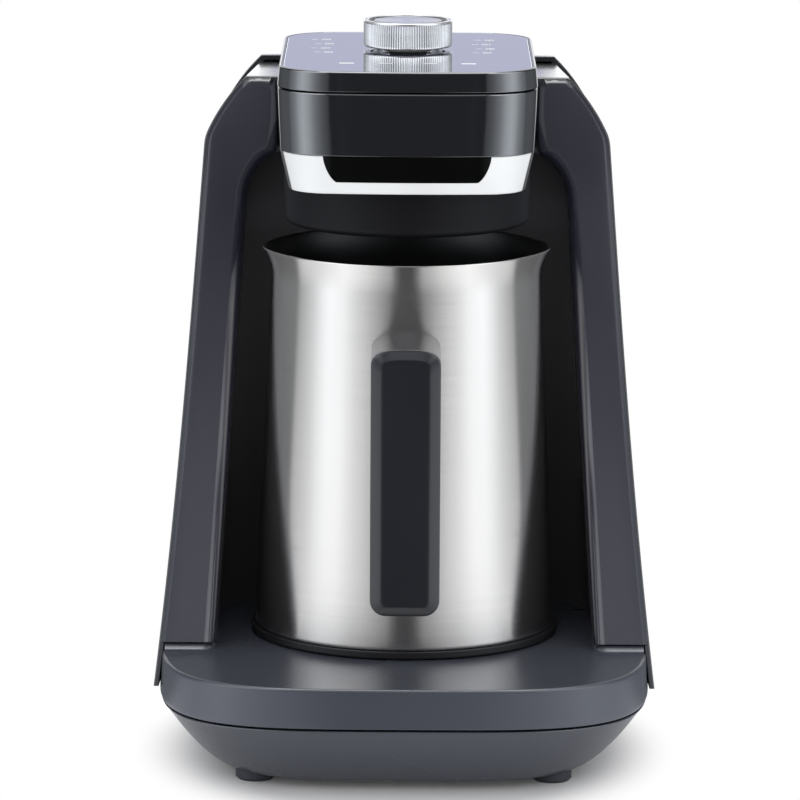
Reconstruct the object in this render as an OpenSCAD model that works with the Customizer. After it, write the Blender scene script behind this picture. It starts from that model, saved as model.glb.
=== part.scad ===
// Electric turkish coffee maker: slanted column on a boat-shaped base, overhanging
// control head with a turning knob, and a steel brewing pot that draws out to the front.
// Millimetres. +Z up, the front faces -Y, origin at the middle of the footprint on the floor.

/* [Body] */
// Width of the body just above the base seam
body_w = 178.5; // [172:0.5:190]
// Depth of the body, front of the base to the back
body_d = 222; // [214:1:232]
// Height of the shoulders beside the head
shoulder_z = 234.5; // [232:0.5:240]
// Width of the body where the shoulders start to round over
shoulder_w = 148.2; // [146:0.2:154]
// Radius of the turn from the side into the shoulder
shoulder_turn_r = 14; // [11:1:18]
// Radius of the shoulder's slope above that turn
shoulder_r = 65; // [56:1:74]
// How far the covers' sides draw in from their front edges to the rear seam
side_draft = 4.2; // [2:0.2:6]
// Wall of the moulded housings
wall = 2.4; // [2:0.1:2.8]
// Wall of the outer cover, seen end-on round the front
cover_t = 1.8; // [1.5:0.1:2.6]
// How far the front edges of the column lean back, millimetres per millimetre of height
lean = 0.474; // [0.45:0.002:0.48]

/* [Base] */
// Height of the rubber feet below the tub
foot_h = 3.2; // [2.5:0.1:4]
// Diameter of a rubber foot
foot_d = 14; // [12:0.5:16]
// Sideways spacing of the feet
foot_spacing = 104.4; // [96:0.2:108]
// Height of the tub, from the feet to the seam
tub_h = 21.8; // [20:0.1:24]
// Width of the flat underside of the tub
tub_bottom_w = 128; // [120:1:136]
// Height of the dark seam between tub and deck
seam_h = 0.9; // [0.6:0.1:1.2]
// Height of the deck band above the seam
deck_band_h = 14.1; // [12:0.1:16]
// Distance from the front of the base back to the pot's axis
pot_setback = 102; // [100:1:106]
// Distance from the front of the base back to the foot of the column
column_setback = 65; // [62:1:68]
// Height of the rounded curb in front of the column's feet
curb_h = 4.5; // [3:0.1:5.5]

/* [Bay] */
// Height where the top corners of the arch start
arch_spring_z = 191; // [189:0.5:193]
// Width of the arch at that height
arch_w = 120.4; // [118:0.2:122]
// Radius of the arch's top corners
arch_r = 20; // [18:0.5:22]
// Widening of the arch on each side, millimetres per millimetre going down
arch_flare = 0.062; // [0.05:0.002:0.07]
// Clear depth of the bay behind the pot's axis
bay_depth = 64; // [63:0.5:66]

/* [Head] */
// Distance from the front of the base back to the front of the head
head_setback = 41.7; // [38:0.1:45]
// Length of the head at its top
head_l = 126.3; // [122:0.1:130]
// Height of the head's glass above the shoulders
head_rise = 15; // [14:0.2:17]
// Width of the head at its top edge
head_top_w = 91.2; // [88:0.2:92]
// Width of the head at the cap's lower edge
head_seam_w = 93.8; // [92:0.2:94.6]
// Width of the head at the trim's upper edge
head_trim_w = 86.7; // [84:0.2:88]
// Width of the head at the trim's lower edge
head_bottom_w = 80.2; // [78:0.2:83]
// Height of the cap band
cap_h = 7.1; // [6.5:0.1:8]
// Height of the gloss front panel below the cap
panel_h = 21.7; // [20:0.1:23]
// Height of the bright trim band
trim_h = 13.6; // [12:0.1:14]
// Thickness of the trim band
trim_t = 1.6; // [1.2:0.1:2]
// Thickness of the glass
glass_t = 2.4; // [2:0.1:3]
// Width of the blank window at its top
window_w = 58.6; // [54:0.2:62]
// Width of the blank window at its foot
window_foot_w = 48.8; // [44:0.2:52]
// Corner radius of the trim at its foot
trim_foot_r = 10; // [8:0.5:14]
// Height of the blank window
window_h = 8.8; // [8:0.1:9.2]
// Radius of the skirt that hangs over the pot's mouth
skirt_r = 44; // [40:0.5:46]
// Depth of the skirt below the head
skirt_h = 18.2; // [16:0.1:18.6]

/* [Knob] */
// Diameter of the knob
knob_d = 31.8; // [28:0.2:34]
// Height of the knob
knob_h = 9.5; // [8.5:0.1:11]
// Gap under the knob
knob_gap = 1; // [0.6:0.1:1.4]
// Distance from the front of the head back to the knob's axis
knob_setback = 73.5; // [70:0.5:78]
// Diameter of the start button in the middle of the knob
button_d = 24.4; // [22:0.2:25]
// Travel of the start button
button_travel = 1; // [0.6:0.1:1.2]
// Number of ribs round the knob
knob_ribs = 112; // [48:4:140]

/* [Pot] */
// Diameter of the pot at its foot
pot_bottom_d = 108.6; // [104:0.2:110]
// Diameter of the pot under its mouth
pot_neck_d = 96.4; // [92:0.2:98]
// Height of the pot's rim above the deck
pot_h = 140.1; // [136:0.1:141]
// Flare of the rim all round
rim_flare = 1.4; // [0.8:0.1:1.8]
// Extra reach of the two pouring lips
lip_reach = 2.4; // [1:0.1:3]
// Thickness of the pot's steel
pot_wall = 1; // [0.8:0.1:1.2]
// Height of the black ring under the steel
pot_foot_h = 2.8; // [2.4:0.1:4]
// Height of the heater space under the pot's floor
heater_h = 13; // [12.5:0.1:16]
// Gap between pot and deck
pot_lift = 0.3; // [0.2:0.05:0.5]

/* [Handle] */
// Width of the handle
handle_w = 24.2; // [22:0.2:27]
// Height of the handle
handle_h = 94; // [88:0.5:98]
// Height of the handle's top above the deck
handle_top = 116.5; // [112:0.5:118]
// Distance from the pot's axis to the front of the handle
handle_reach = 86.6; // [84:0.2:90]
// Thickness of the grip bar, front to back
grip_t = 13; // [11:0.5:15]
// Corner radius of the handle seen from the front
handle_r = 5.6; // [4:0.2:8]
// Bow of the handle's upper and lower ends
handle_bow = 0.8; // [0:0.1:2]
// Width of the chamfer round the handle's cover
handle_chamfer = 3.4; // [2:0.2:4]
// Height of the root that joins the grip to the pot
root_h = 17; // [15:0.5:20]

/* [Hidden] */

// clearances
gap = 0.3;          // between parts that pass or nest
run_gap = 0.05;     // between a turning shaft and its bush
thread_gap = 0.05;  // round a screw in its pilot hole
eps = 0.02;         // lets a cutter pass its face
far = 400;          // longer than the whole part

// heights
tub_z = foot_h;
seam_z = tub_z + tub_h;
deck_under_z = seam_z + seam_h;
deck_z = deck_under_z + deck_band_h;
deck_t = 3;
cover_foot = 2.1;                     // the covers end this far above the deck's lower edge
cover_z = deck_under_z + cover_foot;
curb_z = deck_z + curb_h;
rear_step = 2.4;                      // the rear cover stands this much above the shoulders
rear_z = shoulder_z + rear_step;
head_top_z = shoulder_z + head_rise;
cap_z = head_top_z - cap_h;
trim_top_z = cap_z - panel_h;
head_z = trim_top_z - trim_h;
skirt_z = head_z - skirt_h;
cap_seam = 0.5;                       // dark line between cap and front panel

// depths, from the front of the base
gland_out = 5;                        // the cord gland stands this far out of the back
front_y = -(body_d + gland_out) / 2;
rear_y = front_y + body_d;
pot_y = front_y + pot_setback;
column_y = front_y + column_setback;
head_y = front_y + head_setback;
head_rear_y = head_y + head_l;
knob_y = head_y + knob_setback;
rear_d = 21;                          // depth of the rear cover
rear_seam_y = rear_y - rear_d;
bay_rear_y = pot_y + bay_depth;

// fasteners
screw_r = 1.5;
screw_head_r = 2.8;
screw_head_h = 2;
small_screw_r = 1.1;
small_head_r = 2;
small_head_h = 1.4;
boss_wall = 2;

steps = 10;                           // points on an ordinary rounded corner

// ---------- outlines ----------

function spow(v, p) = sign(v) * pow(abs(v), p);

// egg-shaped plan of the base: half-width a, reach bf to the front and br to the back
front_square = 3.6;
rear_square = 11;
egg_n = 72;
function egg(a, bf, br) = [for (i = [0 : egg_n - 1])
  let (t = 360 * i / egg_n, front = sin(t) < 0, e = 2 / (front ? front_square : rear_square))
  [a * spow(cos(t), e), pot_y + (front ? bf : br) * spow(sin(t), e)]];

// points on an arc of radius r about c, from angle a0 to a1
function arc(c, r, a0, a1, n = steps) = [for (i = [0 : n])
  let (t = a0 + (a1 - a0) * i / n) [c[0] + r * cos(t), c[1] + r * sin(t)]];

function reversed(p) = [for (i = [len(p) - 1 : -1 : 0]) p[i]];

function mirrored(p) = concat(p, [for (i = [len(p) - 1 : -1 : 0]) [-p[i][0], p[i][1]]]);

// half-width of the covers at height z: a slow curve that widens towards the base
side_bulge = 0.775;
shoulder_start = 3.9;                 // lean of the side where the shoulder begins, degrees
shoulder_knee = 26;                   // where the turn meets the slope
shoulder_end = 46.5;                  // and where the slope meets the flat top
shoulder_rise = shoulder_turn_r * (sin(shoulder_knee) - sin(shoulder_start))
  + shoulder_r * (sin(shoulder_end) - sin(shoulder_knee));
shoulder_base_z = shoulder_z - shoulder_rise;
function side_x(z) =
  let (v = (shoulder_base_z - z) / (shoulder_base_z - deck_under_z))
  shoulder_w / 2 + (body_w - shoulder_w) / 2 * (side_bulge * v + (1 - side_bulge) * pow(v, 3));

// right half of the covers' outline, from z0 up to the flat top at top_z
side_steps = 8;
turn_steps = 4;
slope_steps = 6;
function cover_half(inset, z0, top_z) =
  let (base_z = top_z - shoulder_rise,
       turn = [side_x(base_z) - shoulder_turn_r * cos(shoulder_start),
               base_z - shoulder_turn_r * sin(shoulder_start)],
       slope = turn - (shoulder_r - shoulder_turn_r) * [cos(shoulder_knee), sin(shoulder_knee)],
       turn_r = shoulder_turn_r - inset, slope_r = shoulder_r - inset,
       end = asin((top_z - inset - slope[1]) / slope_r),
       start = shoulder_knee + (end - shoulder_knee) / slope_steps)
  concat([for (i = [0 : side_steps - 1]) let (z = z0 + (base_z - z0) * i / side_steps)
            [side_x(z) - inset, z]],
         arc(turn, turn_r, shoulder_start, shoulder_knee, turn_steps),
         arc(slope, slope_r, start, end, slope_steps - 1));
function cover_outline(inset, z0, top_z) = mirrored(cover_half(inset, z0, top_z));

// right half of the arch in the front of the bay, grown by g
arch_top_z = arch_spring_z + arch_r;
function arch_x(z) = arch_w / 2 + arch_flare * (arch_spring_z - z);
function arch_half(g, z0) = concat(
  [[arch_x(z0) + g, z0]],
  arc([arch_w / 2 - arch_r, arch_spring_z], arch_r + g, 0, 90));
function arch_outline(g, z0) = mirrored(arch_half(g, z0));

// plan of the bay, grown by g: open to the front, round at the back
bay_corner_r = 45;
bay_half_w = arch_x(deck_z) + 1;
function bay_plan(g) = mirrored(concat(
  [[bay_half_w + g, front_y]],
  arc([bay_half_w - bay_corner_r, bay_rear_y - bay_corner_r], bay_corner_r + g, 0, 90)));

// plan of the head with half-width w, pulled in by inset all round
head_front_r = 15;
head_rear_r = 20;
head_bow = 1.2;                       // the front edge bows out by this much
bow_steps = 4;
function head_plan(w, inset = 0, front_r = head_front_r) =
  let (x = w - inset, yf = head_y + inset, yr = head_rear_y - inset,
       rf = front_r - inset, rr = head_rear_r - inset)
  concat([for (i = [-bow_steps + 1 : bow_steps - 1]) let (u = i / bow_steps)
            [u * (x - rf), yf + head_bow * u * u]],
         arc([x - rf, yf + rf + head_bow], rf, -90, 0),
         arc([x - rr, yr - rr], rr, 0, 90),
         arc([-x + rr, yr - rr], rr, 90, 180),
         arc([-x + rf, yf + rf + head_bow], rf, 180, 270));

// half-width of the head at height z
function head_half(z) = z > cap_z
  ? head_top_w / 2 + (head_seam_w - head_top_w) / 2 * (head_top_z - z) / cap_h
  : z > trim_top_z
  ? head_trim_w / 2 + (head_seam_w - head_trim_w) / 2 * (z - trim_top_z) / panel_h
  : head_bottom_w / 2 + (head_trim_w - head_bottom_w) / 2 * (z - head_z) / trim_h;

// corner radius of the head's front at height z: it tightens down the trim
function head_corner(z) = z > trim_top_z ? head_front_r
  : trim_foot_r + (head_front_r - trim_foot_r) * (z - head_z) / trim_h;

// upright rectangle of half-sizes a, b with corners of radius r, whose ends bow out by bow
function bowed_rect(a, b, r, bow) =
  let (end = [for (i = [bow_steps - 1 : -1 : -bow_steps + 1]) let (u = i / bow_steps)
                [u * (a - r), b - bow * u * u]],
       half = concat(arc([a - r, b - bow - r], r, 0, 90), end,
                     arc([-a + r, b - bow - r], r, 90, 180)))
  concat(half, [for (p = half) -p]);

// ---------- solids from outlines ----------

function at_z(p, z) = [for (q = p) [q[0], q[1], z]];
function at_y(p, y) = [for (q = p) [q[0], y, q[1]]];

// closed solid through rings of equal length, counter-clockwise seen from the last ring's side
module loft(rings) {
  n = len(rings[0]);
  m = len(rings);
  first = [[for (i = [0 : n - 1]) i]];
  last = [[for (i = [n - 1 : -1 : 0]) (m - 1) * n + i]];
  sides = [for (j = [0 : m - 2]) for (i = [0 : n - 1])
    let (k = (i + 1) % n, a = j * n + i, b = j * n + k, c = a + n, d = b + n)
    each [[a, c, b], [b, c, d]]];
  polyhedron([for (r = rings) each r], concat(first, sides, last));
}

// outline in X and Z, run along Y from y0 to y1
module along_y(p, y0, y1) {
  translate([0, y1, 0])
    rotate([90, 0, 0])
      linear_extrude(y1 - y0)
        polygon(p);
}

// outline in Y and Z, run along X from x0 to x1
module along_x(p, x0, x1) {
  translate([x0, 0, 0])
    rotate([90, 0, 90])
      linear_extrude(x1 - x0)
        polygon(p);
}

// outline in X and Y, run up from z0 to z1
module along_z(p, z0, z1) {
  translate([0, 0, z0])
    linear_extrude(z1 - z0)
      polygon(p);
}

module box(x0, x1, y0, y1, z0, z1) {
  translate([x0, y0, z0])
    cube([x1 - x0, y1 - y0, z1 - z0]);
}

module post(x, y, z0, z1, r) {
  translate([x, y, z0])
    cylinder(h = z1 - z0, r = r, $fn = 32);
}

module rod_y(x, z, y0, y1, r) {
  translate([x, y1, z])
    rotate([90, 0, 0])
      cylinder(h = y1 - y0, r = r, $fn = 32);
}

module each_side() {
  children();
  mirror([1, 0, 0])
    children();
}

// everything behind the slanted front of the column, set back by d along Y
function face_y(z) = column_y + lean * (z - curb_z);
module behind_face(d) {
  along_x([[face_y(0) + d, 0], [far, 0], [far, far], [face_y(far) + d, far]], -far, far);
}

// screw standing on its head at z, shank upwards for length l
module screw_up(x, y, z, l, r = screw_r, hr = screw_head_r, hh = screw_head_h) {
  post(x, y, z, z + hh, hr);
  post(x, y, z + hh - eps, z + l, r);
}

// screw with its head at the back (larger y), shank towards the front
module screw_front(x, y, z, l, r = screw_r, hr = screw_head_r, hh = screw_head_h) {
  rod_y(x, z, y - hh, y, hr);
  rod_y(x, z, y - l, y - hh + eps, r);
}

// ---------- base ----------

tub_bulge = 0.7;                      // how quickly the tub swells above its underside
tub_levels = [0, 0.06, 0.2, 0.4, 0.65, 1];
tub_top_w = body_w - 0.3;
tub_top_front = pot_setback - 1;
tub_top_rear = body_d - pot_setback - 1;
tub_bottom_front = pot_setback - 27;
tub_bottom_rear = tub_top_rear - 22;
tub_floor = 2.5;
foot_recess = 0.8;
foot_x = foot_spacing / 2;
foot_front_y = pot_y - tub_bottom_front + 9;
foot_rear_y = pot_y + tub_bottom_rear - 12;
feet = [[foot_x, foot_front_y], [-foot_x, foot_front_y], [foot_x, foot_rear_y],
        [-foot_x, foot_rear_y]];
tub_screw_x = 40;
tub_screw_front = 58;                 // from the pot's axis forward
tub_screw_rear = 12;                  // from the rear seam forward
tub_screws_at = [for (s = [-1, 1], y = [pot_y - tub_screw_front, rear_seam_y - tub_screw_rear])
  [s * tub_screw_x, y]];
screw_seat_h = 9;
screw_seat_z = tub_z + screw_seat_h;  // where the tub screws' heads stop
vent_n = 8;
vent_pitch = 7;
vent_w = 3;
vent_l = 34;

function tub_ring(t, inset) =
  let (s = pow(t, tub_bulge))
  egg((tub_bottom_w + (tub_top_w - tub_bottom_w) * s) / 2 - inset,
      tub_bottom_front + (tub_top_front - tub_bottom_front) * s - inset,
      tub_bottom_rear + (tub_top_rear - tub_bottom_rear) * s - inset);

// low wall inside the rim, which closes the seam behind the deck's lower edge
module tub_lip() {
  lip_t = 1.4;
  difference() {
    along_z(deck_inside(gap), seam_z - 5, deck_under_z + 2);
    along_z(deck_inside(gap + lip_t), seam_z - 6, deck_under_z + 3);
    difference() {
      along_z(egg(body_w, body_d, body_d), 0, seam_z - 0.5);
      loft([for (t = tub_levels) at_z(tub_ring(t, wall / 2), tub_z + tub_h * t)]);
    }
  }
}

module base_tub() {
  color([0.26, 0.28, 0.32])
  difference() {
    union() {
      difference() {
        loft([for (t = tub_levels) at_z(tub_ring(t, 0), tub_z + tub_h * t)]);
        loft([for (t = tub_levels)
          at_z(tub_ring(t, wall * 1.3), tub_z + max(tub_floor, tub_h * t + (t == 1 ? 1 : 0)
                                                    + (t > 0 && t < 0.15 ? tub_floor : 0)))]);
      }
      tub_lip();
      for (p = tub_screws_at)
        post(p[0], p[1], tub_z + tub_floor - eps, seam_z, screw_head_r + gap + boss_wall);
    }
    for (p = feet)
      post(p[0], p[1], tub_z - 1, tub_z + foot_recess, foot_d / 2 + thread_gap);
    for (p = tub_screws_at) {
      post(p[0], p[1], tub_z - 1, screw_seat_z, screw_head_r + gap);
      post(p[0], p[1], tub_z, seam_z + 1, screw_r + gap);
    }
    for (i = [0 : vent_n - 1])
      box(-vent_l / 2, vent_l / 2, pot_y + vent_pitch * (i - vent_n / 2),
          pot_y + vent_pitch * (i - vent_n / 2) + vent_w, tub_z - 1, tub_z + tub_floor + 1);
  }
}

module rubber_feet() {
  color([0.12, 0.12, 0.13])
  for (p = feet)
    translate([p[0], p[1], 0])
      rotate_extrude($fn = 48)
        polygon([[0, 0], [foot_d / 2 - 1, 0], [foot_d / 2, 1],
                 [foot_d / 2, foot_h + foot_recess], [0, foot_h + foot_recess]]);
}

module tub_screws() {
  color([0.7, 0.7, 0.72])
  for (p = tub_screws_at)
    screw_up(p[0], p[1], screw_seat_z - screw_head_h, deck_z - deck_t - screw_seat_z);
}

deck_w = body_w + 0.9;                // the deck stands a little outside the covers
deck_edge = 1.2;                      // rounding of the deck's upper edge
deck_hidden_rear = body_d - pot_setback - cover_t - gap - 0.2;
deck_hidden_x = side_x(deck_z) - cover_t - gap;        // inside the covers' front edge
deck_rear_x = deck_hidden_x - side_draft;              // and inside the rear cover
function deck_inside(inset) = egg(deck_rear_x - wall - inset, pot_setback - wall - 1.2 - inset,
                                  deck_hidden_rear - wall - inset);
deck_draft = 4.6;                     // how far its sides lean in from the seam to the top
curb_d = 4.5;
wire_way = 40;
curb_rear = 1.2;                      // the curb runs this far under the column's front
curb_spare = 1;                       // its outer end stands this far in from the deck's edge

module deck_fillet() {
  // concave quarter round in front of the column's feet
  arch_edge = arch_x(curb_z);
  profile = concat([[column_y + curb_rear, deck_z - 1], [column_y + curb_rear, curb_z],
                    [column_y, curb_z]],
                   [for (i = [1 : 5]) let (t = 90 * i / 6)
                     [column_y - curb_d + curb_d * cos(t), curb_z - curb_h * sin(t)]],
                   [[column_y - curb_d, deck_z], [column_y - curb_d, deck_z - 1]]);
  each_side()
    along_x(profile, arch_edge, deck_w / 2 + 0.3 - deck_draft - curb_spare);
}

// takes the deck's hidden rear corners inside the rear cover's rounded ones
module rear_corner_cut() {
  x = deck_rear_x - rear_round;
  y = rear_y - cover_t - gap - rear_round;
  along_z(concat(arc([x, y], rear_round, 0, 90), [[x, far], [far, far], [far, y]]),
          cover_z - gap, far);
}

module base_deck() {
  // height, inset of the front, inset of the sides as a share of their draft
  rings = [[0, 0, 0], [deck_band_h / 2, 0.3, 0.5], [deck_band_h - deck_edge, 0.6, 0.74],
           [deck_band_h - deck_edge * 0.3, 0.95, 0.83], [deck_band_h, 1.9, 1]];
  color([0.24, 0.24, 0.26])
  difference() {
    union() {
      difference() {
        loft([for (r = rings) at_z(egg(deck_w / 2 + 0.3 - deck_draft * r[2], pot_setback - r[1],
                                       deck_hidden_rear - r[1]), deck_under_z + r[0])]);
        along_z(deck_inside(0), deck_under_z - 1, deck_z - deck_t);
      }
      deck_fillet();
      for (p = tub_screws_at)
        post(p[0], p[1], seam_z, deck_z - deck_t + eps, screw_r + boss_wall + 0.5);
    }
    // step that lets the covers' skirts hang outside the deck
    intersection() {
      behind_face(-gap);
      each_side()
        along_z([[deck_hidden_x, front_y], [far, front_y], [far, far], [deck_rear_x, far],
                 [deck_rear_x, rear_seam_y], [deck_hidden_x, column_y]], cover_z - gap, far);
    }
    each_side()
      rear_corner_cut();
    for (p = tub_screws_at)
      post(p[0], p[1], seam_z - 1, deck_z - deck_t, screw_r + thread_gap);
    // way for the wires from the column into the base
    box(-wire_way / 2, wire_way / 2, board_y - wire_way / 10, board_y + wire_way / 5, deck_under_z,
        deck_z + 1);
  }
}

// ---------- column ----------

face_inset = 0.7;                     // the fascia sits this far behind the cover's edge
fascia_gap = gap + 0.2;               // room beside it for the covers' draft
face_t = 2.5;
edge_r = 3;                           // rounding of the arch's edge
slot_top_x = 48.5;                    // half-width of the notch beside the head, at the top
slot_flare = 0.055;
board_y = bay_rear_y + wall + 8;      // front face of the power board
board_t = 1.6;
board_w = 104;
board_h = 118;
board_z = deck_z + 26;
board_edge = 7;                       // from the board's edges in to its screws
board_posts = [for (s = [-1, 1], z = [board_z + board_edge, board_z + board_h - board_edge])
  [s * (board_w / 2 - board_edge), z]];
socket_w = 30;
socket_h = 17;
socket_z = deck_z + 7;                // lower edge of the socket
socket_front_y = bay_rear_y - 2;
socket_rear_y = bay_rear_y + wall + 14;
socket_flange = 5;

module head_slot(z0, y0, y1) {
  z1 = shoulder_z + 5;
  along_y([[-slot_top_x - slot_flare * (shoulder_z - z0), z0],
           [slot_top_x + slot_flare * (shoulder_z - z0), z0],
           [slot_top_x, z1], [-slot_top_x, z1]], y0, y1);
}

module bay_volume(g, z0) {
  intersection() {
    along_y(arch_outline(g, z0), front_y, bay_rear_y + g + 1);
    along_z(bay_plan(g), z0 - 1, arch_top_z + g + 1);
  }
}

module front_fascia() {
  color([0.23, 0.24, 0.28])
  difference() {
    union() {
      // slanted front frame
      difference() {
        intersection() {
          along_y(cover_outline(cover_t + fascia_gap, curb_z, shoulder_z), front_y, rear_seam_y);
          behind_face(face_inset);
        }
        behind_face(face_inset + face_t);
        along_y(arch_outline(edge_r, curb_z - 1), front_y, rear_y);
        head_slot(arch_top_z - 1, front_y, rear_y);
      }
      // wall round the bay, with posts for the power board on its back
      difference() {
        union() {
          intersection() {
            bay_volume(wall, deck_z);
            behind_face(face_inset + edge_r);
          }
          for (p = board_posts)
            rod_y(p[0], p[1], bay_rear_y - 15, board_y, screw_r + boss_wall);
        }
        bay_volume(0, deck_z - 1);
      }
      // rounded lip between frame and bay
      fascia_lip();
    }
    for (p = board_posts)
      rod_y(p[0], p[1], bay_rear_y + wall, board_y + 1, screw_r + thread_gap);
    for (p = head_screws_at)
      post(p[0], p[1], arch_top_z - 1, arch_top_z + wall + 1, screw_r + gap);
    // window for the pot's socket, and its screws
    box(-socket_w / 2 - gap, socket_w / 2 + gap, bay_rear_y - 10, bay_rear_y + wall + 5,
        socket_z - gap, socket_z + socket_h + gap);
    for (s = [-1, 1])
      rod_y(s * (socket_w / 2 + socket_flange), socket_z + socket_h / 2, bay_rear_y + 0.6,
            bay_rear_y + wall + 1, small_screw_r + thread_gap);
  }
}

// quarter-round lip: slices of the arch that open out as they come forward
lip_steps = 6;
module fascia_lip() {
  for (i = [0 : lip_steps - 1]) {
    a0 = 90 * i / lip_steps;
    a1 = 90 * (i + 1) / lip_steps;
    grow = edge_r * (1 - cos((a0 + a1) / 2));
    d0 = face_inset + edge_r * (1 - sin(a1));
    d1 = face_inset + edge_r * (1 - sin(a0));
    difference() {
      intersection() {
        along_y(arch_outline(edge_r + face_t, curb_z), front_y, bay_rear_y);
        behind_face(d0);
      }
      behind_face(d1 + eps);
      along_y(arch_outline(grow, curb_z - 1), front_y, rear_y);
      head_slot(arch_top_z - 1, front_y, rear_y);
    }
  }
}

// half-width x drawn in at the rear seam
function drawn_in(x) = x - sign(x) * side_draft;

// the shell's cross-section at one point of its outline: p outside, q inside
function shell_section(p, q) = [[p[0], face_y(p[1]), p[1]], [drawn_in(p[0]), rear_seam_y, p[1]],
                                [drawn_in(q[0]), rear_seam_y, q[1]], [q[0], face_y(q[1]), q[1]]];

module outer_shell() {
  outer = cover_outline(0, cover_z, shoulder_z);
  inner = cover_outline(cover_t, cover_z, shoulder_z);
  loft([for (i = [0 : len(outer) - 1]) shell_section(outer[i], inner[i])]);
}

module outer_cover() {
  color([0.20, 0.20, 0.22])
  difference() {
    outer_shell();
    along_z(head_plan(head_half(shoulder_z), -gap - 1.2), shoulder_z - cover_t - 1,
            shoulder_z + 1);
    head_slot(arch_top_z, front_y, head_rear_y - head_rear_r);
  }
  // posts that take the rear cover's screws
  for (p = rear_screws_at)
    difference() {
      rib_x = drawn_in(p[0] + sign(p[0]) * (post_in + side_draft - cover_t / 4));
      union() {
        rod_y(p[0], p[1], rear_seam_y - post_l, rear_seam_y, screw_r + boss_wall);
        box(min(p[0], rib_x), max(p[0], rib_x), rear_seam_y - post_l, rear_seam_y,
            p[1] - rib_t / 2, p[1] + rib_t / 2);
      }
      rod_y(p[0], p[1], rear_seam_y - post_l + 2, rear_seam_y + 1, screw_r + thread_gap);
    }
}

rear_round = 18;
rear_steps = 5;
post_l = 14;
rib_t = 2;
rear_boss_r = screw_head_r + gap + boss_wall;
rear_seat = 4;                        // the screws' heads sit this far behind the seam
rear_screw_l = 16;
// screw axes, inwards from the covers' sides, so that the bosses stand on the flat back
post_in = rear_round + cover_t + rear_boss_r + gap;
rear_screw_low = 22;                  // above the covers' foot
rear_screw_high = 18;                 // below the shoulders
rear_screws_at = [for (s = [-1, 1], z = [cover_z + rear_screw_low, shoulder_base_z - rear_screw_high])
  [s * drawn_in(side_x(z) - post_in), z]];
louvre_n = 9;
louvre_pitch = 6.5;
louvre_w = 3;
louvre_l = 34;
louvre_x = 24;
louvre_z = shoulder_z - 92;
gland_z = cover_z + 20;
gland_r = 6.5;
cord_r = 3.6;
clamp_w = 18;
clamp_gap = 2;                        // between the cord's clamp and the screw's boss
gland_x = -(drawn_in(side_x(gland_z) - post_in) - rear_boss_r - clamp_gap - clamp_w / 2);

// rings of the rear cover at depth inset below its skin, from its rounded back to the seam
cover_spare = 6;                      // the rings run this far below the cover's foot
function rear_outline(d, inset) =
  let (z0 = cover_z - cover_spare + min(inset, cover_spare / 2),
       w = drawn_in(body_w / 2), sx = 1 - d / w, sz = 1 - d / (rear_z - z0))
  [for (p = cover_outline(0, z0, rear_z)) [sx * drawn_in(p[0]), z0 + sz * (p[1] - z0)]];
function rear_rings(inset) = concat(
  [for (i = [rear_steps : -1 : 0]) let (a = 90 * i / rear_steps)
    at_y(rear_outline(rear_round * (1 - cos(a)) + inset, inset),
         rear_y - rear_round * (1 - sin(a)) - inset)],
  [at_y(rear_outline(inset, inset), rear_seam_y)]);

module rear_cover() {
  color([0.20, 0.20, 0.22])
  difference() {
    union() {
      difference() {
        // one closed skin: forward outside, round the seam's edge and back inside
        loft(concat(rear_rings(0), reversed(rear_rings(cover_t))));
        box(-far, far, front_y, far, 0, cover_z);
      }
      for (p = rear_screws_at)
        rod_y(p[0], p[1], rear_seam_y, rear_y - cover_t / 2, rear_boss_r);
    }
    for (p = rear_screws_at) {
      rod_y(p[0], p[1], rear_seam_y + rear_seat, rear_y + 1, screw_head_r + gap);
      rod_y(p[0], p[1], rear_seam_y - 1, rear_y, screw_r + gap);
    }
    for (s = [-1, 1])
      for (i = [0 : louvre_n - 1])
        box(s * louvre_x - louvre_l / 2, s * louvre_x + louvre_l / 2, rear_y - cover_t - 1,
            rear_y + 1, louvre_z + louvre_pitch * i, louvre_z + louvre_pitch * i + louvre_w);
    rod_y(gland_x, gland_z, rear_y - cover_t - 1, rear_y + 1, gland_r + thread_gap);
  }
}

module rear_cover_screws() {
  color([0.7, 0.7, 0.72])
  for (p = rear_screws_at)
    screw_front(p[0], rear_seam_y + rear_seat + screw_head_h, p[1], rear_screw_l);
}

module cord_gland() {
  color([0.10, 0.10, 0.11])
  translate([gland_x, rear_y, gland_z])
    rotate([90, 0, 0])
      rotate_extrude($fn = 48)
        polygon([[cord_r, -5], [cord_r + 1.6, -5], [gland_r + 1.8, -1.6], [gland_r + 1.8, 0],
                 [gland_r, 0], [gland_r, cover_t], [gland_r + 1, cover_t + 0.6],
                 [gland_r + 1, cover_t + 2.6], [gland_r, cover_t + 4], [cord_r, cover_t + 4]]);
}

clamp_setback = 16;                   // from the back of the body
clamp_t = 8;
clamp_wall = 3;
module cord_clamp() {
  y0 = rear_y - clamp_setback;
  color([0.85, 0.84, 0.8])
  difference() {
    box(gland_x - clamp_w / 2, gland_x + clamp_w / 2, y0, y0 + clamp_t, deck_z,
        gland_z + cord_r + clamp_wall);
    rod_y(gland_x, gland_z, y0 - 1, y0 + clamp_t + 1, cord_r);
  }
}

module pot_socket() {
  color([0.10, 0.10, 0.11])
  difference() {
    union() {
      box(-socket_w / 2, socket_w / 2, socket_front_y, socket_rear_y, socket_z,
          socket_z + socket_h);
      box(-socket_w / 2 - 2 * socket_flange, socket_w / 2 + 2 * socket_flange,
          bay_rear_y + wall, bay_rear_y + wall + 2.5, socket_z, socket_z + socket_h);
    }
    for (x = pin_x)
      rod_y(x, pin_z, socket_front_y - 1, socket_rear_y + 1, contact_r + thread_gap);
    for (s = [-1, 1])
      rod_y(s * (socket_w / 2 + socket_flange), socket_z + socket_h / 2, bay_rear_y,
            socket_rear_y, small_screw_r + gap);
  }
}

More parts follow.
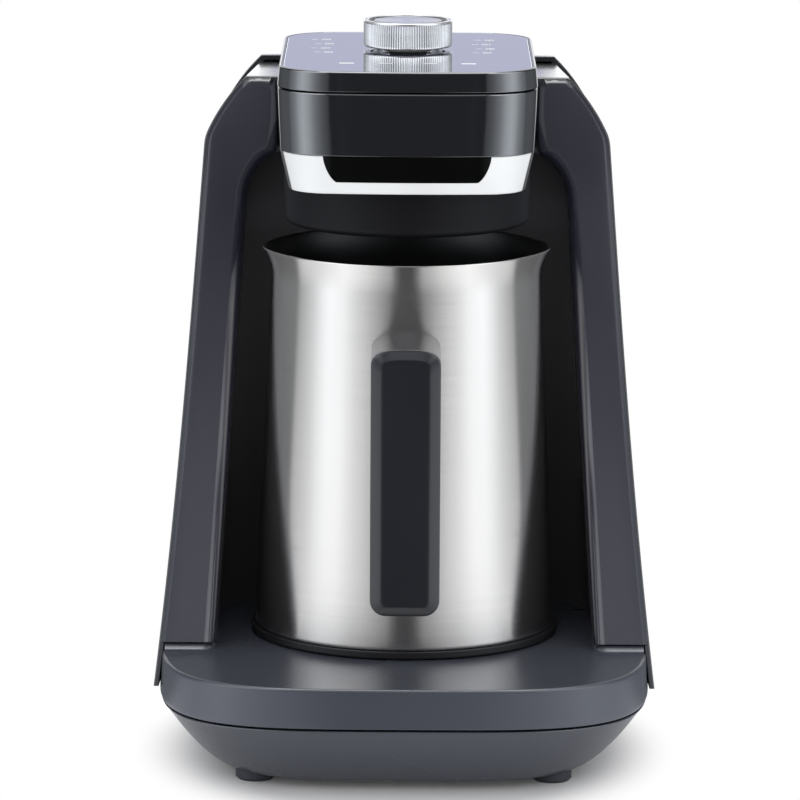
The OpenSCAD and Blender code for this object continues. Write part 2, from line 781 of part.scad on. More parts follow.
pin_r = 1.6;
pin_l = 9;
pin_x = [-9, 0, 9];
pin_z = socket_z + socket_h / 2;
contact_r = 2.6;

module socket_contacts() {
  color([0.8, 0.65, 0.35])
  for (x = pin_x)
    difference() {
      rod_y(x, pin_z, socket_front_y + 1, socket_rear_y + 5, contact_r);
      rod_y(x, pin_z, socket_front_y, socket_rear_y - 3, pin_r + gap);
    }
}

module socket_screws() {
  color([0.7, 0.7, 0.72])
  for (s = [-1, 1])
    screw_front(s * (socket_w / 2 + socket_flange), bay_rear_y + wall + 2.5 + small_head_h,
                socket_z + socket_h / 2, small_head_h + 2.5 + wall - 1,
                small_screw_r, small_head_r, small_head_h);
}

module power_board() {
  color([0.15, 0.38, 0.22])
  difference() {
    box(-board_w / 2, board_w / 2, board_y, board_y + board_t, board_z, board_z + board_h);
    for (p = board_posts)
      rod_y(p[0], p[1], board_y - 1, board_y + board_t + 1, screw_r + gap);
  }
}

board_screw_l = 9;
module power_board_screws() {
  color([0.7, 0.7, 0.72])
  for (p = board_posts)
    screw_front(p[0], board_y + board_t + screw_head_h, p[1], board_screw_l);
}

part_y = board_y + board_t;           // board components stand on this face

transformer_x = -38;
transformer_z = board_z + 12;
core_w = 30;
core_h = 36;
core_t = 5;
coil_in = 2;                          // the coil stands in from the core's sides
coil_end = 4;                         // and from its ends
coil_t = 15;
module transformer() {
  color([0.55, 0.55, 0.58])
  box(transformer_x, transformer_x + core_w, part_y, part_y + core_t, transformer_z,
      transformer_z + core_h);
  color([0.75, 0.5, 0.25])
  box(transformer_x + coil_in, transformer_x + core_w - coil_in, part_y + core_t,
      part_y + core_t + coil_t, transformer_z + coil_end, transformer_z + core_h - coil_end);
}

relay_x = 10;
relay_z = board_z + 20;
relay_w = 19;
relay_h = 16;
relay_t = 16;
module relay() {
  color([0.15, 0.3, 0.6])
  box(relay_x, relay_x + relay_w, part_y, part_y + relay_t, relay_z, relay_z + relay_h);
}

capacitor_x = 8;
capacitor_z = board_z + 50;
capacitor_w = 26;
capacitor_h = 9;
capacitor_t = 18;
module filter_capacitor() {
  color([0.85, 0.65, 0.2])
  box(capacitor_x, capacitor_x + capacitor_w, part_y, part_y + capacitor_t, capacitor_z,
      capacitor_z + capacitor_h);
}

terminal_x = -34;
terminal_z = board_z + 62;
terminal_pitch = 10;
terminal_h = 12;
terminal_t = 11;
terminal_r = 2;
module terminal_block() {
  color([0.3, 0.5, 0.3])
  difference() {
    box(terminal_x, terminal_x + 3 * terminal_pitch, part_y, part_y + terminal_t, terminal_z,
        terminal_z + terminal_h);
    for (i = [0 : 2])
      rod_y(terminal_x + terminal_pitch * (i + 0.5), terminal_z + terminal_h / 2,
            part_y + terminal_t / 2, part_y + terminal_t + 1, terminal_r);
  }
}

// ---------- head ----------

head_wall = 2;
head_floor = 2.4;
post_r = small_screw_r + boss_wall;
control_z = cap_z - 9;                // underside of the control board
control_t = 1.6;
control_x = 34;
control_edge = 5;                     // from the screws out to the board's edges
control_front = 22;                   // the front screws, back from the head's face
control_span = 82;                    // between the front and the rear screws
control_y = [head_y + control_front, head_y + control_front + control_span];
control_posts = [for (s = [-1, 1], y = control_y) [s * control_x, y]];
ceiling_z = arch_top_z + wall + gap;
ceiling_y = face_y(arch_top_z) + face_inset - gap;
trim_rear_y = ceiling_y - gap;        // the trim's arms run back to the column
trim_seat = trim_t + 0.1;

function head_ring(z, inset) = at_z(head_plan(head_half(z), inset, head_corner(z)), z);

module head_shell() {
  color([0.07, 0.07, 0.08])
  difference() {
    union() {
      difference() {
        loft([head_ring(head_z, trim_seat), head_ring(trim_top_z, trim_seat)]);
        loft([head_ring(head_z + head_floor, trim_seat + head_wall),
              head_ring(trim_top_z + eps, trim_seat + head_wall)]);
      }
      difference() {
        loft([head_ring(trim_top_z, 0), head_ring(cap_z - cap_seam, 0)]);
        loft([head_ring(trim_top_z - eps, trim_seat + head_wall),
              head_ring(trim_top_z + 1.5, head_wall), head_ring(cap_z, head_wall)]);
      }
      for (p = control_posts)
        post(p[0], p[1], head_z + head_floor - eps, control_z, post_r);
      // raised floor over the bay's ceiling
      intersection() {
        along_z(head_plan(head_half(ceiling_z), trim_seat + 1, head_corner(head_z)), ceiling_z,
                ceiling_z + head_floor);
        box(-far, far, ceiling_y - head_wall, far, 0, far);
      }
      intersection() {
        along_z(head_plan(head_half(head_z), trim_seat + 1, head_corner(head_z)), head_z,
                ceiling_z + head_floor);
        box(-far, far, ceiling_y - head_wall, ceiling_y, 0, far);
      }
    }
    box(-far, far, ceiling_y, far, 0, ceiling_z);
    for (p = control_posts)
      post(p[0], p[1], control_z - 8, control_z + 1, small_screw_r + thread_gap);
    for (x = lens_x)
      post(x, lens_y, head_z - 1, head_z + head_floor + 1, 4);
    // window for the ribbon cable
    box(-10, 10, head_rear_y - head_rear_r, far, ribbon_z - 2, ribbon_z + 3);
    for (p = head_screws_at)
      post(p[0], p[1], ceiling_z - 1, ceiling_z + head_floor + 1, screw_r + thread_gap);
  }
}

module head_cap() {
  color([0.09, 0.09, 0.10])
  difference() {
    loft([head_ring(cap_z, 0), head_ring(head_top_z - 1, 0), head_ring(head_top_z - 0.4, 0.3)]);
    along_z(head_plan(head_half(head_top_z), cap_rim), pocket_z, far);
    loft([head_ring(cap_z - eps, head_wall), head_ring(pocket_z - head_wall, head_wall)]);
    post(0, knob_y, cap_z, far, bush_r + thread_gap);
  }
}
cap_rim = 1.3;
pocket_gap = 0.6;                     // room for the touch sheet under the glass
pocket_z = head_top_z - glass_t - pocket_gap;

module glass_panel() {
  color([0.10, 0.10, 0.12])
  difference() {
    loft([at_z(head_plan(head_half(head_top_z), cap_rim + 0.1), head_top_z - glass_t),
          at_z(head_plan(head_half(head_top_z), cap_rim + 0.1), head_top_z - 0.4),
          at_z(head_plan(head_half(head_top_z), cap_rim + 0.5), head_top_z)]);
    post(0, knob_y, 0, far, bush_r + thread_gap);
  }
}

module touch_sheet() {
  color([0.5, 0.45, 0.3])
  difference() {
    along_z(head_plan(head_half(head_top_z), cap_rim + 2), pocket_z, head_top_z - glass_t);
    post(0, knob_y, 0, far, bush_flange_r + 1);
  }
}

window_power = 1.5;                   // how full the curve of the window's ends is
window_steps = 8;
function window_half(g) = concat(
  [[window_w / 2 + g, trim_top_z + 1]],
  [for (i = [0 : window_steps]) let (t = 90 * i / window_steps)
    [window_foot_w / 2 + (window_w - window_foot_w) / 2 * pow(cos(t), 2 / window_power) + g,
     trim_top_z - (window_h + g) * pow(sin(t), 2 / window_power)]]);

module trim_band() {
  color([0.86, 0.87, 0.88])
  difference() {
    loft([head_ring(head_z, 0), head_ring(trim_top_z - 0.05, 0)]);
    loft([head_ring(head_z - eps, trim_t), head_ring(trim_top_z + 0.1, trim_t)]);
    box(-far, far, trim_rear_y, far, 0, far);
    along_y(mirrored(window_half(0)), front_y, head_y + 12);
  }
}

module window_insert() {
  color([0.02, 0.02, 0.025])
  intersection() {
    difference() {
      loft([head_ring(head_z, 0.15), head_ring(trim_top_z - 0.05, 0.15)]);
      loft([head_ring(head_z - eps, trim_t), head_ring(trim_top_z + 0.1, trim_t)]);
    }
    along_y(mirrored(window_half(-0.1)), front_y, head_y + 12);
  }
}

skirt_wall = 2;
skirt_edge = 3;
skirt_flange = 10;                    // the skirt's top closes against the head over this width
lens_spacing = 28;
lens_x = [-lens_spacing / 2, lens_spacing / 2];
lens_forward = 8;                     // from the pot's axis
lens_y = pot_y - lens_forward;
lens_r = 3.2;
lens_flange = 1;

module sensor_skirt() {
  color([0.07, 0.07, 0.08])
  difference() {
    translate([0, pot_y, skirt_z])
      rotate_extrude($fn = 96)
        polygon(concat([[0, 0]],
                       [for (i = [0 : 4]) let (t = 90 * i / 4)
                         [skirt_r - skirt_edge + skirt_edge * sin(t),
                          skirt_edge - skirt_edge * cos(t)]],
                       [[skirt_r, skirt_h], [skirt_r - skirt_flange, skirt_h],
                        [skirt_r - skirt_flange, skirt_h - skirt_wall],
                        [skirt_r - skirt_wall, skirt_h - skirt_wall],
                        [skirt_r - skirt_wall, skirt_edge], [skirt_r - skirt_edge, skirt_wall],
                        [0, skirt_wall]]));
    for (x = lens_x)
      post(x, lens_y, skirt_z - 1, skirt_z + skirt_wall + 1, lens_r + thread_gap);
  }
}

module sensor_lenses() {
  color([0.5, 0.1, 0.1])
  for (x = lens_x)
    translate([x, lens_y, skirt_z + gap])
      rotate_extrude($fn = 32)
        polygon([[0, 0], [lens_r - 0.6, 0], [lens_r, 0.6], [lens_r, skirt_wall - gap],
                 [lens_r + lens_flange, skirt_wall - gap],
                 [lens_r + lens_flange, skirt_wall + lens_flange],
                 [0, skirt_wall + lens_flange]]);
}

sensor_board_z = skirt_z + skirt_wall + lens_flange + gap;
sensor_board_w = 48;
sensor_board_l = 16;
sensor_w = 5;
sensor_h = 2.4;
module sensor_board() {
  color([0.15, 0.38, 0.22])
  box(-sensor_board_w / 2, sensor_board_w / 2, lens_y - sensor_board_l / 2,
      lens_y + sensor_board_l / 2, sensor_board_z, sensor_board_z + board_t);
  color([0.1, 0.1, 0.1])
  for (x = lens_x)
    box(x - sensor_w / 2, x + sensor_w / 2, lens_y - sensor_w / 2, lens_y + sensor_w / 2,
        sensor_board_z + board_t, sensor_board_z + board_t + sensor_h);
}

module control_board() {
  color([0.15, 0.38, 0.22])
  difference() {
    box(-control_x - control_edge, control_x + control_edge, control_y[0] - control_edge,
        control_y[1] + control_edge, control_z, control_z + control_t);
    for (p = control_posts)
      post(p[0], p[1], control_z - 1, control_z + control_t + 1, small_screw_r + gap);
  }
}

module control_board_screws() {
  color([0.7, 0.7, 0.72])
  for (p = control_posts) {
    z1 = control_z + control_t;
    post(p[0], p[1], z1, z1 + small_head_h, small_head_r);
    post(p[0], p[1], z1 - 7, z1 + eps, small_screw_r);
  }
}

ribbon_t = 0.8;
ribbon_w = 16;
ribbon_drop = 12;                     // how far it hangs below the control board
ribbon_back = 3;                      // how far it stands behind the head
ribbon_inset = 6;                     // its end, in front of the board's rear screws
ribbon_end = 22;                      // its other end, below the top of the upright board
ribbon_z = control_z - ribbon_drop;
ribbon_y = head_rear_y + ribbon_back;
module ribbon_cable() {
  y0 = control_y[1] - ribbon_inset;
  end_z = board_z + board_h - ribbon_end;
  color([0.6, 0.6, 0.62])
  along_x([[y0, control_z], [y0 + ribbon_t, control_z], [y0 + ribbon_t, ribbon_z + ribbon_t],
           [ribbon_y, ribbon_z + ribbon_t], [ribbon_y, end_z + ribbon_t],
           [board_y, end_z + ribbon_t], [board_y, end_z], [ribbon_y - ribbon_t, end_z],
           [ribbon_y - ribbon_t, ribbon_z], [y0, ribbon_z]],
          -ribbon_w / 2, ribbon_w / 2);
}

buzzer_x = -24;
buzzer_y = control_y[1] - 12;
buzzer_r = 5;
buzzer_h = 4.5;
module buzzer() {
  color([0.1, 0.1, 0.1])
  difference() {
    post(buzzer_x, buzzer_y, encoder_z, encoder_z + buzzer_h, buzzer_r);
    post(buzzer_x, buzzer_y, encoder_z + buzzer_h - 1.5, encoder_z + buzzer_h + 1, 1);
  }
}

// screws up through the bay's ceiling into the head's raised floor
module head_screws() {
  color([0.7, 0.7, 0.72])
  for (p = head_screws_at)
    screw_up(p[0], p[1], arch_top_z - screw_head_h, 8);
}
head_screws_at = [for (s = [-1, 1]) [s * 26, ceiling_y + 9]];

// ---------- knob ----------

bush_r = 8.6;
bush_flange_r = 10.5;
bush_t = 1.9;
hub_r = bush_r - bush_t;
stem_r = 3.4;
hub_t = 2;
knob_z = head_top_z + knob_gap;
knob_top_z = knob_z + knob_h;
encoder_z = control_z + control_t;
encoder_h = cap_z - encoder_z - 1;
hub_z = encoder_z + 1.2;
encoder_w = 18;
switch_w = 4.4;
switch_h = 3.8;
switch_pin_h = 0.8;
switch_pin_r = 1.6;
switch_z = encoder_z + switch_h;      // top of the switch's pin
rib_depth = 0.45;
web_z = knob_z + 1;
web_t = 1.6;
button_t = 2.6;

module encoder_body() {
  color([0.2, 0.2, 0.22])
  difference() {
    box(-encoder_w / 2, encoder_w / 2, knob_y - encoder_w / 2, knob_y + encoder_w / 2, encoder_z,
        encoder_z + encoder_h);
    post(0, knob_y, encoder_z - 1, far, hub_r + gap);
  }
}

module start_switch() {
  color([0.75, 0.75, 0.78])
  box(-switch_w / 2, switch_w / 2, knob_y - switch_w / 2, knob_y + switch_w / 2, encoder_z,
      switch_z - switch_pin_h);
  color([0.1, 0.1, 0.1])
  post(0, knob_y, switch_z - switch_pin_h, switch_z, switch_pin_r);
}

module knob_bush() {
  color([0.85, 0.85, 0.8])
  difference() {
    union() {
      post(0, knob_y, cap_z - pocket_gap, head_top_z + knob_gap / 2, bush_r);
      post(0, knob_y, cap_z - pocket_gap, pocket_z - head_wall, bush_flange_r);
    }
    post(0, knob_y, 0, far, hub_r + run_gap);
  }
}

module knob_ring() {
  r = knob_d / 2;
  pitch = 360 / knob_ribs;
  ribs = [for (i = [0 : knob_ribs - 1]) each
    [for (k = [[0, r], [0.35, r], [0.6, r - rib_depth], [0.85, r - rib_depth]])
      [k[1] * cos(pitch * (i + k[0])), k[1] * sin(pitch * (i + k[0]))]]];
  chamfer = 0.9;
  color([0.80, 0.80, 0.82])
  difference() {
    translate([0, knob_y, 0])
      union() {
        intersection() {
          translate([0, 0, knob_z])
            linear_extrude(knob_h)
              polygon(ribs);
          translate([0, 0, knob_z])
            rotate_extrude($fn = 96)
              polygon([[0, 0], [r - 0.5, 0], [r + 0.1, 0.6], [r + 0.1, knob_h - chamfer],
                       [r - chamfer, knob_h], [0, knob_h]]);
        }
        translate([0, 0, hub_z])
          cylinder(h = knob_z + 1 - hub_z, r = hub_r, $fn = 48);
      }
    // well for the button, and the hollow under the skirt
    post(0, knob_y, web_z + web_t, far, button_d / 2 + gap);
    post(0, knob_y, 0, far, stem_r + gap);
    translate([0, knob_y, knob_z - 1])
      rotate_extrude($fn = 48)
        polygon([[hub_r + hub_t, 0], [r - 3, 0], [r - 3, 2], [hub_r + hub_t, 2]]);
  }
}

module start_button() {
  top = knob_top_z - 0.3;
  color([0.74, 0.74, 0.76])
  translate([0, knob_y, 0])
    rotate_extrude($fn = 96)
      polygon([[0, switch_z + button_travel + gap], [stem_r, switch_z + button_travel + gap],
               [stem_r, top - button_t], [button_d / 2, top - button_t],
               [button_d / 2, top - 0.3], [button_d / 2 - 0.3, top], [0, top]]);
}

// ---------- pot ----------

pot_foot_z = deck_z + pot_lift;
steel_z = pot_foot_z + pot_foot_h;
rim_z = deck_z + pot_h;
pot_floor_z = steel_z + heater_h;
pot_floor_t = 1.2;
pot_n = 72;
lip_power = 14;                       // how narrow the pouring lips are
flare_h = 11;                         // height of the flared mouth
edge_round = 2.5;                     // height of the turned-in lower edge
edge_in = 0.8;
pot_bulge = 1.12;

// outer radius of the pot at height z, towards angle t
function pot_r(z, t) =
  let (v = (z - steel_z) / (rim_z - steel_z),
       body = pot_bottom_d / 2
         + (pot_neck_d - pot_bottom_d) / 2 * (pot_bulge * v + (1 - pot_bulge) * v * v),
       f = max(0, (z - rim_z + flare_h) / flare_h),
       low = max(0, (steel_z + edge_round - z) / edge_round))
  body + f * f * (rim_flare + lip_reach * pow(abs(cos(t)), lip_power))
    - edge_in * low * low;
function pot_ring(z, inset) = [for (i = [0 : pot_n - 1])
  let (t = 360 * i / pot_n, r = pot_r(z, t) - inset)
  [r * cos(t), pot_y + r * sin(t), z]];
pot_levels = [steel_z, steel_z + edge_round / 2, steel_z + edge_round, deck_z + 75,
              rim_z - flare_h, rim_z - flare_h * 0.65, rim_z - flare_h * 0.35, rim_z];

pot_inner_levels = [for (z = pot_levels) if (z > pot_floor_z + 10) z];

// one closed skin: up the heater space, down its wall, up outside, over the rim and down inside
module pot_body() {
  color([0.78, 0.78, 0.79])
  loft(concat(
    [for (z = [pot_floor_z, steel_z + edge_round, steel_z]) pot_ring(z, pot_wall)],
    [for (z = pot_levels) pot_ring(z, 0)],
    [for (z = reversed(pot_inner_levels)) pot_ring(z, pot_wall)],
    [pot_ring(pot_floor_z + pot_floor_t + 3, pot_wall),
     pot_ring(pot_floor_z + pot_floor_t, pot_wall + 3)]));
}

foot_lip = 1;                         // the black ring stands this much outside the steel
plug_w = 26;
plug_z = socket_z - 1;
plug_h = socket_h + 2;
plug_rear_y = socket_front_y - 1.2;

module pot_foot() {
  r = pot_bottom_d / 2;
  inner = r - pot_wall - 0.8 - gap;
  color([0.08, 0.08, 0.09])
  difference() {
    translate([0, pot_y, pot_foot_z])
      rotate_extrude($fn = 96)
        polygon([[0, 0], [r + foot_lip - 0.8, 0], [r + foot_lip, 0.8],
                 [r + foot_lip, pot_foot_h], [inner, pot_foot_h], [inner, pot_foot_h + 3],
                 [inner - wall, pot_foot_h + 3], [inner - wall, 2], [0, 2]]);
    for (a = foot_screw_a)
      translate([foot_screw_r * cos(a), pot_y + foot_screw_r * sin(a), 0]) {
        cylinder(h = pot_foot_z + foot_recess_h, r = small_head_r + gap, $fn = 32);
        cylinder(h = far, r = small_screw_r + gap, $fn = 32);
      }
  }
}

foot_recess_h = 1.4;                  // depth of the foot screws' counterbores
foot_screw_a = [90, 210, 330];
foot_screw_r = 30;
plate_r = 44;
plate_t = 3;
element_r = 36;
tube_r = 3;
element_z = pot_floor_z - plate_t - tube_r;

module pot_foot_screws() {
  color([0.7, 0.7, 0.72])
  for (a = foot_screw_a)
    translate([foot_screw_r * cos(a), pot_y + foot_screw_r * sin(a), 0]) {
      translate([0, 0, pot_foot_z])
        cylinder(h = foot_recess_h, r = small_head_r, $fn = 32);
      translate([0, 0, pot_foot_z + foot_recess_h - eps])
        cylinder(h = pot_floor_z - plate_t - pot_foot_z - foot_recess_h + 2, r = small_screw_r,
                 $fn = 32);
    }
}

module heater_plate() {
  color([0.75, 0.75, 0.77])
  difference() {
    translate([0, pot_y, pot_floor_z - plate_t])
      cylinder(h = plate_t, r = plate_r, $fn = 96);
    for (a = foot_screw_a)
      translate([foot_screw_r * cos(a), pot_y + foot_screw_r * sin(a), pot_floor_z - plate_t - 1])
        cylinder(h = 3.2, r = small_screw_r + thread_gap, $fn = 32);
  }
}

module heating_element() {
  color([0.45, 0.43, 0.42])
  translate([0, pot_y, element_z])
    rotate([0, 0, 105])
      rotate_extrude(angle = 330, $fn = 96)
        translate([element_r, 0])
          circle(r = tube_r, $fn = 24);
}

cutout_r = 9;
cutout_h = 5;
module thermal_cutout() {
  color([0.8, 0.8, 0.75])
  translate([0, pot_y, pot_floor_z - plate_t - cutout_h])
    cylinder(h = cutout_h, r = cutout_r, $fn = 48);
}

// plug housing on the back of the pot, meeting the socket in the bay
plug_front_y = pot_y + pot_r(plug_z, 90) - 3;

module pot_plug() {
  color([0.08, 0.08, 0.09])
  difference() {
    box(-plug_w / 2, plug_w / 2, plug_front_y, plug_rear_y, plug_z, plug_z + plug_h);
    translate([0, pot_y, 0])
      cylinder(h = far, r = pot_bottom_d / 2 + 0.1, $fn = 96);
    for (x = pin_x)
      rod_y(x, pin_z, plug_rear_y - 3, plug_rear_y + 1, pin_r + thread_gap);
  }
}

module plug_pins() {
  color([0.8, 0.65, 0.35])
  for (x = pin_x)
    rod_y(x, pin_z, plug_rear_y - 3, plug_rear_y + pin_l, pin_r);
}

// ---------- handle ----------

handle_front_y = pot_y - handle_reach;
handle_z1 = deck_z + handle_top;
handle_z0 = handle_z1 - handle_h;
cover_plate_t = 2.6;
cover_chamfer = 1.6;                  // depth of the chamfer round the cover
grip_rear_y = handle_front_y + grip_t;
root_blend = 10;
bracket_t = 1.6;
bracket_w = 18;
bracket_l = 16;                       // how far the bracket's tongue reaches into the root
bracket_z = handle_z1 - root_h / 2;
handle_mid_z = (handle_z0 + handle_z1) / 2;

module handle_outline_y(g, y0, y1, r = handle_r) {
  along_y([for (p = bowed_rect(handle_w / 2 + g, handle_h / 2 + g, r + g, handle_bow))
            [p[0], p[1] + handle_mid_z]], y0, y1);
}

module handle_grip() {
  root_y = pot_y - pot_r(bracket_z, 90);
  blend = [for (i = [0 : 6]) let (t = 90 * i / 6)
    [grip_rear_y + root_blend - root_blend * sin(t),
     handle_z1 - root_h - root_blend + root_blend * cos(t)]];
  color([0.13, 0.13, 0.16])
  difference() {
    intersection() {
      along_x(concat([[handle_front_y + cover_plate_t, handle_z0],
                      [handle_front_y + cover_plate_t, handle_z1],
                      [root_y + 6, handle_z1], [root_y + 6, handle_z1 - root_h]], blend,
                     [[grip_rear_y, handle_z0 + 3], [grip_rear_y - 3, handle_z0]]),
              -far, far);
      handle_outline_y(0, front_y, pot_y);
    }
    translate([0, pot_y, 0])
      cylinder(h = far, r1 = handle_bore(0), r2 = handle_bore(far), $fn = 96);
    box(-bracket_w / 2 - 0.1, bracket_w / 2 + 0.1, root_y - bracket_l - 0.2, far,
        bracket_z - bracket_t / 2 - 0.1, bracket_z + bracket_t / 2 + 0.1);
    for (x = handle_screw_x) {
      post(x, handle_screw_y, handle_z1 - root_h - 1, bracket_z + 5, screw_r + thread_gap);
      post(x, handle_screw_y, handle_z1 - root_h - root_blend - 1,
           handle_z1 - root_h + screw_head_h + 0.2, screw_head_r + 0.1);
    }
  }
}

// straight cone that follows the pot's wall beside the handle's root
function handle_bore(z) =
  let (z0 = handle_z1 - root_h, z1 = handle_z1, r0 = pot_r(z0, 90), r1 = pot_r(z1, 90))
  r0 + (r1 - r0) * (z - z0) / (z1 - z0) + 0.1;
handle_screw_x = [-5.5, 5.5];
handle_screw_y = pot_y - pot_r(bracket_z, 90) - 9;

module handle_bracket() {
  wall_y = pot_y - pot_r(bracket_z, 90);
  color([0.7, 0.7, 0.72])
  difference() {
    box(-bracket_w / 2, bracket_w / 2, wall_y - bracket_l, wall_y + 2,
        bracket_z - bracket_t / 2, bracket_z + bracket_t / 2);
    translate([0, pot_y, 0])
      cylinder(h = far, r1 = handle_bore(0), r2 = handle_bore(far), $fn = 96);
    for (x = handle_screw_x)
      post(x, handle_screw_y, 0, far, screw_r + 0.1);
  }
}

module handle_screws() {
  color([0.7, 0.7, 0.72])
  for (x = handle_screw_x)
    screw_up(x, handle_screw_y, handle_z1 - root_h + 0.2, root_h / 2 + 3);
}

module handle_cover() {
  rings = [[cover_plate_t, 0], [cover_chamfer, 0], [0, handle_chamfer]];
  color([0.10, 0.10, 0.12])
  loft([for (r = rings) at_y([for (p = bowed_rect(handle_w / 2 - r[1], handle_h / 2 - r[1],
                                                 handle_r - r[1] / 2, handle_bow))
                               [p[0], p[1] + handle_mid_z]], handle_front_y + r[0])]);
}

base_tub();
base_deck();
rubber_feet();
tub_screws();
front_fascia();
outer_cover();
rear_cover();
rear_cover_screws();
cord_gland();
cord_clamp();
pot_socket();
socket_contacts();
socket_screws();
power_board();
power_board_screws();
transformer();
relay();
filter_capacitor();
terminal_block();
head_shell();
head_cap();
glass_panel();
touch_sheet();
trim_band();
window_insert();
sensor_skirt();
sensor_board();
sensor_lenses();
control_board();
control_board_screws();
ribbon_cable();
buzzer();
head_screws();
encoder_body();
start_switch();
knob_bush();
knob_ring();
start_button();
pot_body();
pot_foot();
pot_foot_screws();
heater_plate();
heating_element();
thermal_cutout();
pot_plug();
plug_pins();
handle_bracket();
handle_grip();
handle_cover();
handle_screws();
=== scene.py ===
"""Skins, finishes, floor, light and camera for an electric turkish coffee maker.

Every skin is a surface worked out with numpy: closed rings of points, stacked into a grid.
Lengths inside the shape functions are millimetres in the part's own frame."""

import math

import bmesh
import bpy
import numpy as np
from mathutils import Matrix, Vector


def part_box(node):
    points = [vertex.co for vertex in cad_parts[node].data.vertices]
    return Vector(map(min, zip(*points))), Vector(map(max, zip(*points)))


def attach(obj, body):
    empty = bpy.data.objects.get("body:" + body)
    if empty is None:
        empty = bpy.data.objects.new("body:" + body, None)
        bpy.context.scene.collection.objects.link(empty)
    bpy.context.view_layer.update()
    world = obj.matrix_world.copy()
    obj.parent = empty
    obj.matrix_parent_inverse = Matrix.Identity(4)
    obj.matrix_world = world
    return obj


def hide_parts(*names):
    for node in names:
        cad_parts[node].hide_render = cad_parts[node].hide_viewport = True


bl_info = {
    "name": "Coffee Maker Skins",
    "version": (1, 0, 0),
    "blender": (4, 5, 0),
    "location": "View3D > Sidebar > Coffee Maker",
    "description": "Builds the skins and finishes of an electric turkish coffee maker",
    "category": "Add Mesh",
}

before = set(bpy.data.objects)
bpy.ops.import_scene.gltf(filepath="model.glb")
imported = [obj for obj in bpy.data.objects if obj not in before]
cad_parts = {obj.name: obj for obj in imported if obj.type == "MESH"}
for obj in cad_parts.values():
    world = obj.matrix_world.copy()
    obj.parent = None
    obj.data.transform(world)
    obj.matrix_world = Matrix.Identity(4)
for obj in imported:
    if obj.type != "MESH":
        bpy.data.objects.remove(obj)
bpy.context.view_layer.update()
MM = 0.001


def node_box(node):
    """Lowest and highest corner of a node, in millimetres."""
    lo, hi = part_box(node)
    return np.array(lo) / MM, np.array(hi) / MM


# ---------- the body's lines, in millimetres ----------

FRONT_Y, REAR_Y = -113.5, 108.5
POT_Y, COLUMN_Y = -11.5, -48.5
TUB_Z, SEAM_Z, DECK_UNDER_Z, DECK_Z, COVER_Z, CURB_Z = 3.2, 25.0, 25.9, 40.0, 28.0, 44.5
FOOT_Z = 42.0  # where the column's front meets its curbs
SHOULDER_Z, REAR_Z = 234.5, 236.9
LEAN = 0.474  # run of the column's front for each millimetre of height
COVER_T, GAP, FASCIA_IN = 1.8, 0.3, 2.3
SCREW_WELL_R = 3.1
BODY_W, SHOULDER_W, TURN_R, SLOPE_R = 178.5, 148.2, 14.0, 65.0
TURN_FROM, TURN_TO = 3.9, 26.0  # where the shoulder's tight arc starts and ends, in degrees
SHOULDER_A0, KNEE, SHOULDER_A1 = map(math.radians, (TURN_FROM, TURN_TO, 46.5))
SHOULDER_RISE = (TURN_R * (math.sin(KNEE) - math.sin(SHOULDER_A0))
                 + SLOPE_R * (math.sin(SHOULDER_A1) - math.sin(KNEE)))
SHOULDER_BASE_Z = SHOULDER_Z - SHOULDER_RISE
REAR_SEAM_Y, REAR_ROUND, SIDE_DRAFT = 87.5, 18.0, 4.2
ARCH_SPRING_Z, ARCH_HALF, ARCH_R, ARCH_FLARE = 191.0, 60.2, 20.0, 0.062
BAY_REAR_Y, BAY_CORNER_R = 52.5, 45.0
FACE_INSET = 0.7  # how far the front face lies behind the cover's edge
HEAD_Y, HEAD_REAR_Y = -71.8, 54.5
HEAD_TOP_Z, CAP_Z, TRIM_TOP_Z, HEAD_Z, SKIRT_Z = 249.5, 242.4, 219.9, 206.8, 188.9
KNOB_Y, KNOB_Z, KNOB_TOP_Z, KNOB_R = 1.7, 250.5, 260.0, 15.9
STEEL_Z, RIM_Z, POT_FLOOR_Z = 43.1, 180.1, 57.3
HANDLE_Z0, HANDLE_Z1, HANDLE_FRONT_Y, GRIP_REAR_Y = 62.5, 156.5, -98.1, -85.1


def spow(v, p):
    """The sign of v times the power p of its size."""
    return np.sign(v) * np.abs(v) ** p


def even(points, n, closed=True):
    """n points at equal steps of length along a polyline."""
    p = np.asarray(points, float)
    if closed:
        p = np.vstack([p, p[:1]])
    s = np.concatenate([[0], np.cumsum(np.linalg.norm(np.diff(p, axis=0), axis=1))])
    t = np.linspace(0, s[-1], n + 1)[:-1] if closed else np.linspace(0, s[-1], n)
    return np.stack([np.interp(t, s, p[:, k]) for k in range(p.shape[1])], 1)


def arc(cx, cy, r, a0, a1, n):
    """Points on a circle about (cx, cy) from angle a0 to a1, in degrees."""
    a = np.radians(np.linspace(a0, a1, n))
    return np.stack([cx + r * np.cos(a), cy + r * np.sin(a)], 1)


def quarter(r, n=6):
    """A quarter circle of radius r as (inset, drop)."""
    a = np.radians(np.linspace(0, 90, n))
    return [(r * (1 - math.cos(t)), r * (1 - math.sin(t))) for t in a]


EGG_FRONT, EGG_REAR = 3.95, 11  # powers of the base's plan in front and behind


def egg(a, bf, br, n=288):
    """Plan of the base: x = a cos^e t, y = b sin^e t, where e is 2 over the plan's power."""
    t = np.linspace(0, 2 * np.pi, 6001)[:-1]
    e = np.where(np.sin(t) < 0, 2 / EGG_FRONT, 2 / EGG_REAR)
    b = np.where(np.sin(t) < 0, bf, br)
    return even(np.stack([a * spow(np.cos(t), e), POT_Y + b * spow(np.sin(t), e)], 1), n)


def side_x(z):
    """Half-width of the covers: a slow cubic that widens towards the base."""
    v = (SHOULDER_BASE_Z - z) / (SHOULDER_BASE_Z - DECK_UNDER_Z)
    return SHOULDER_W / 2 + (BODY_W - SHOULDER_W) / 2 * (0.775 * v + 0.225 * v ** 3)


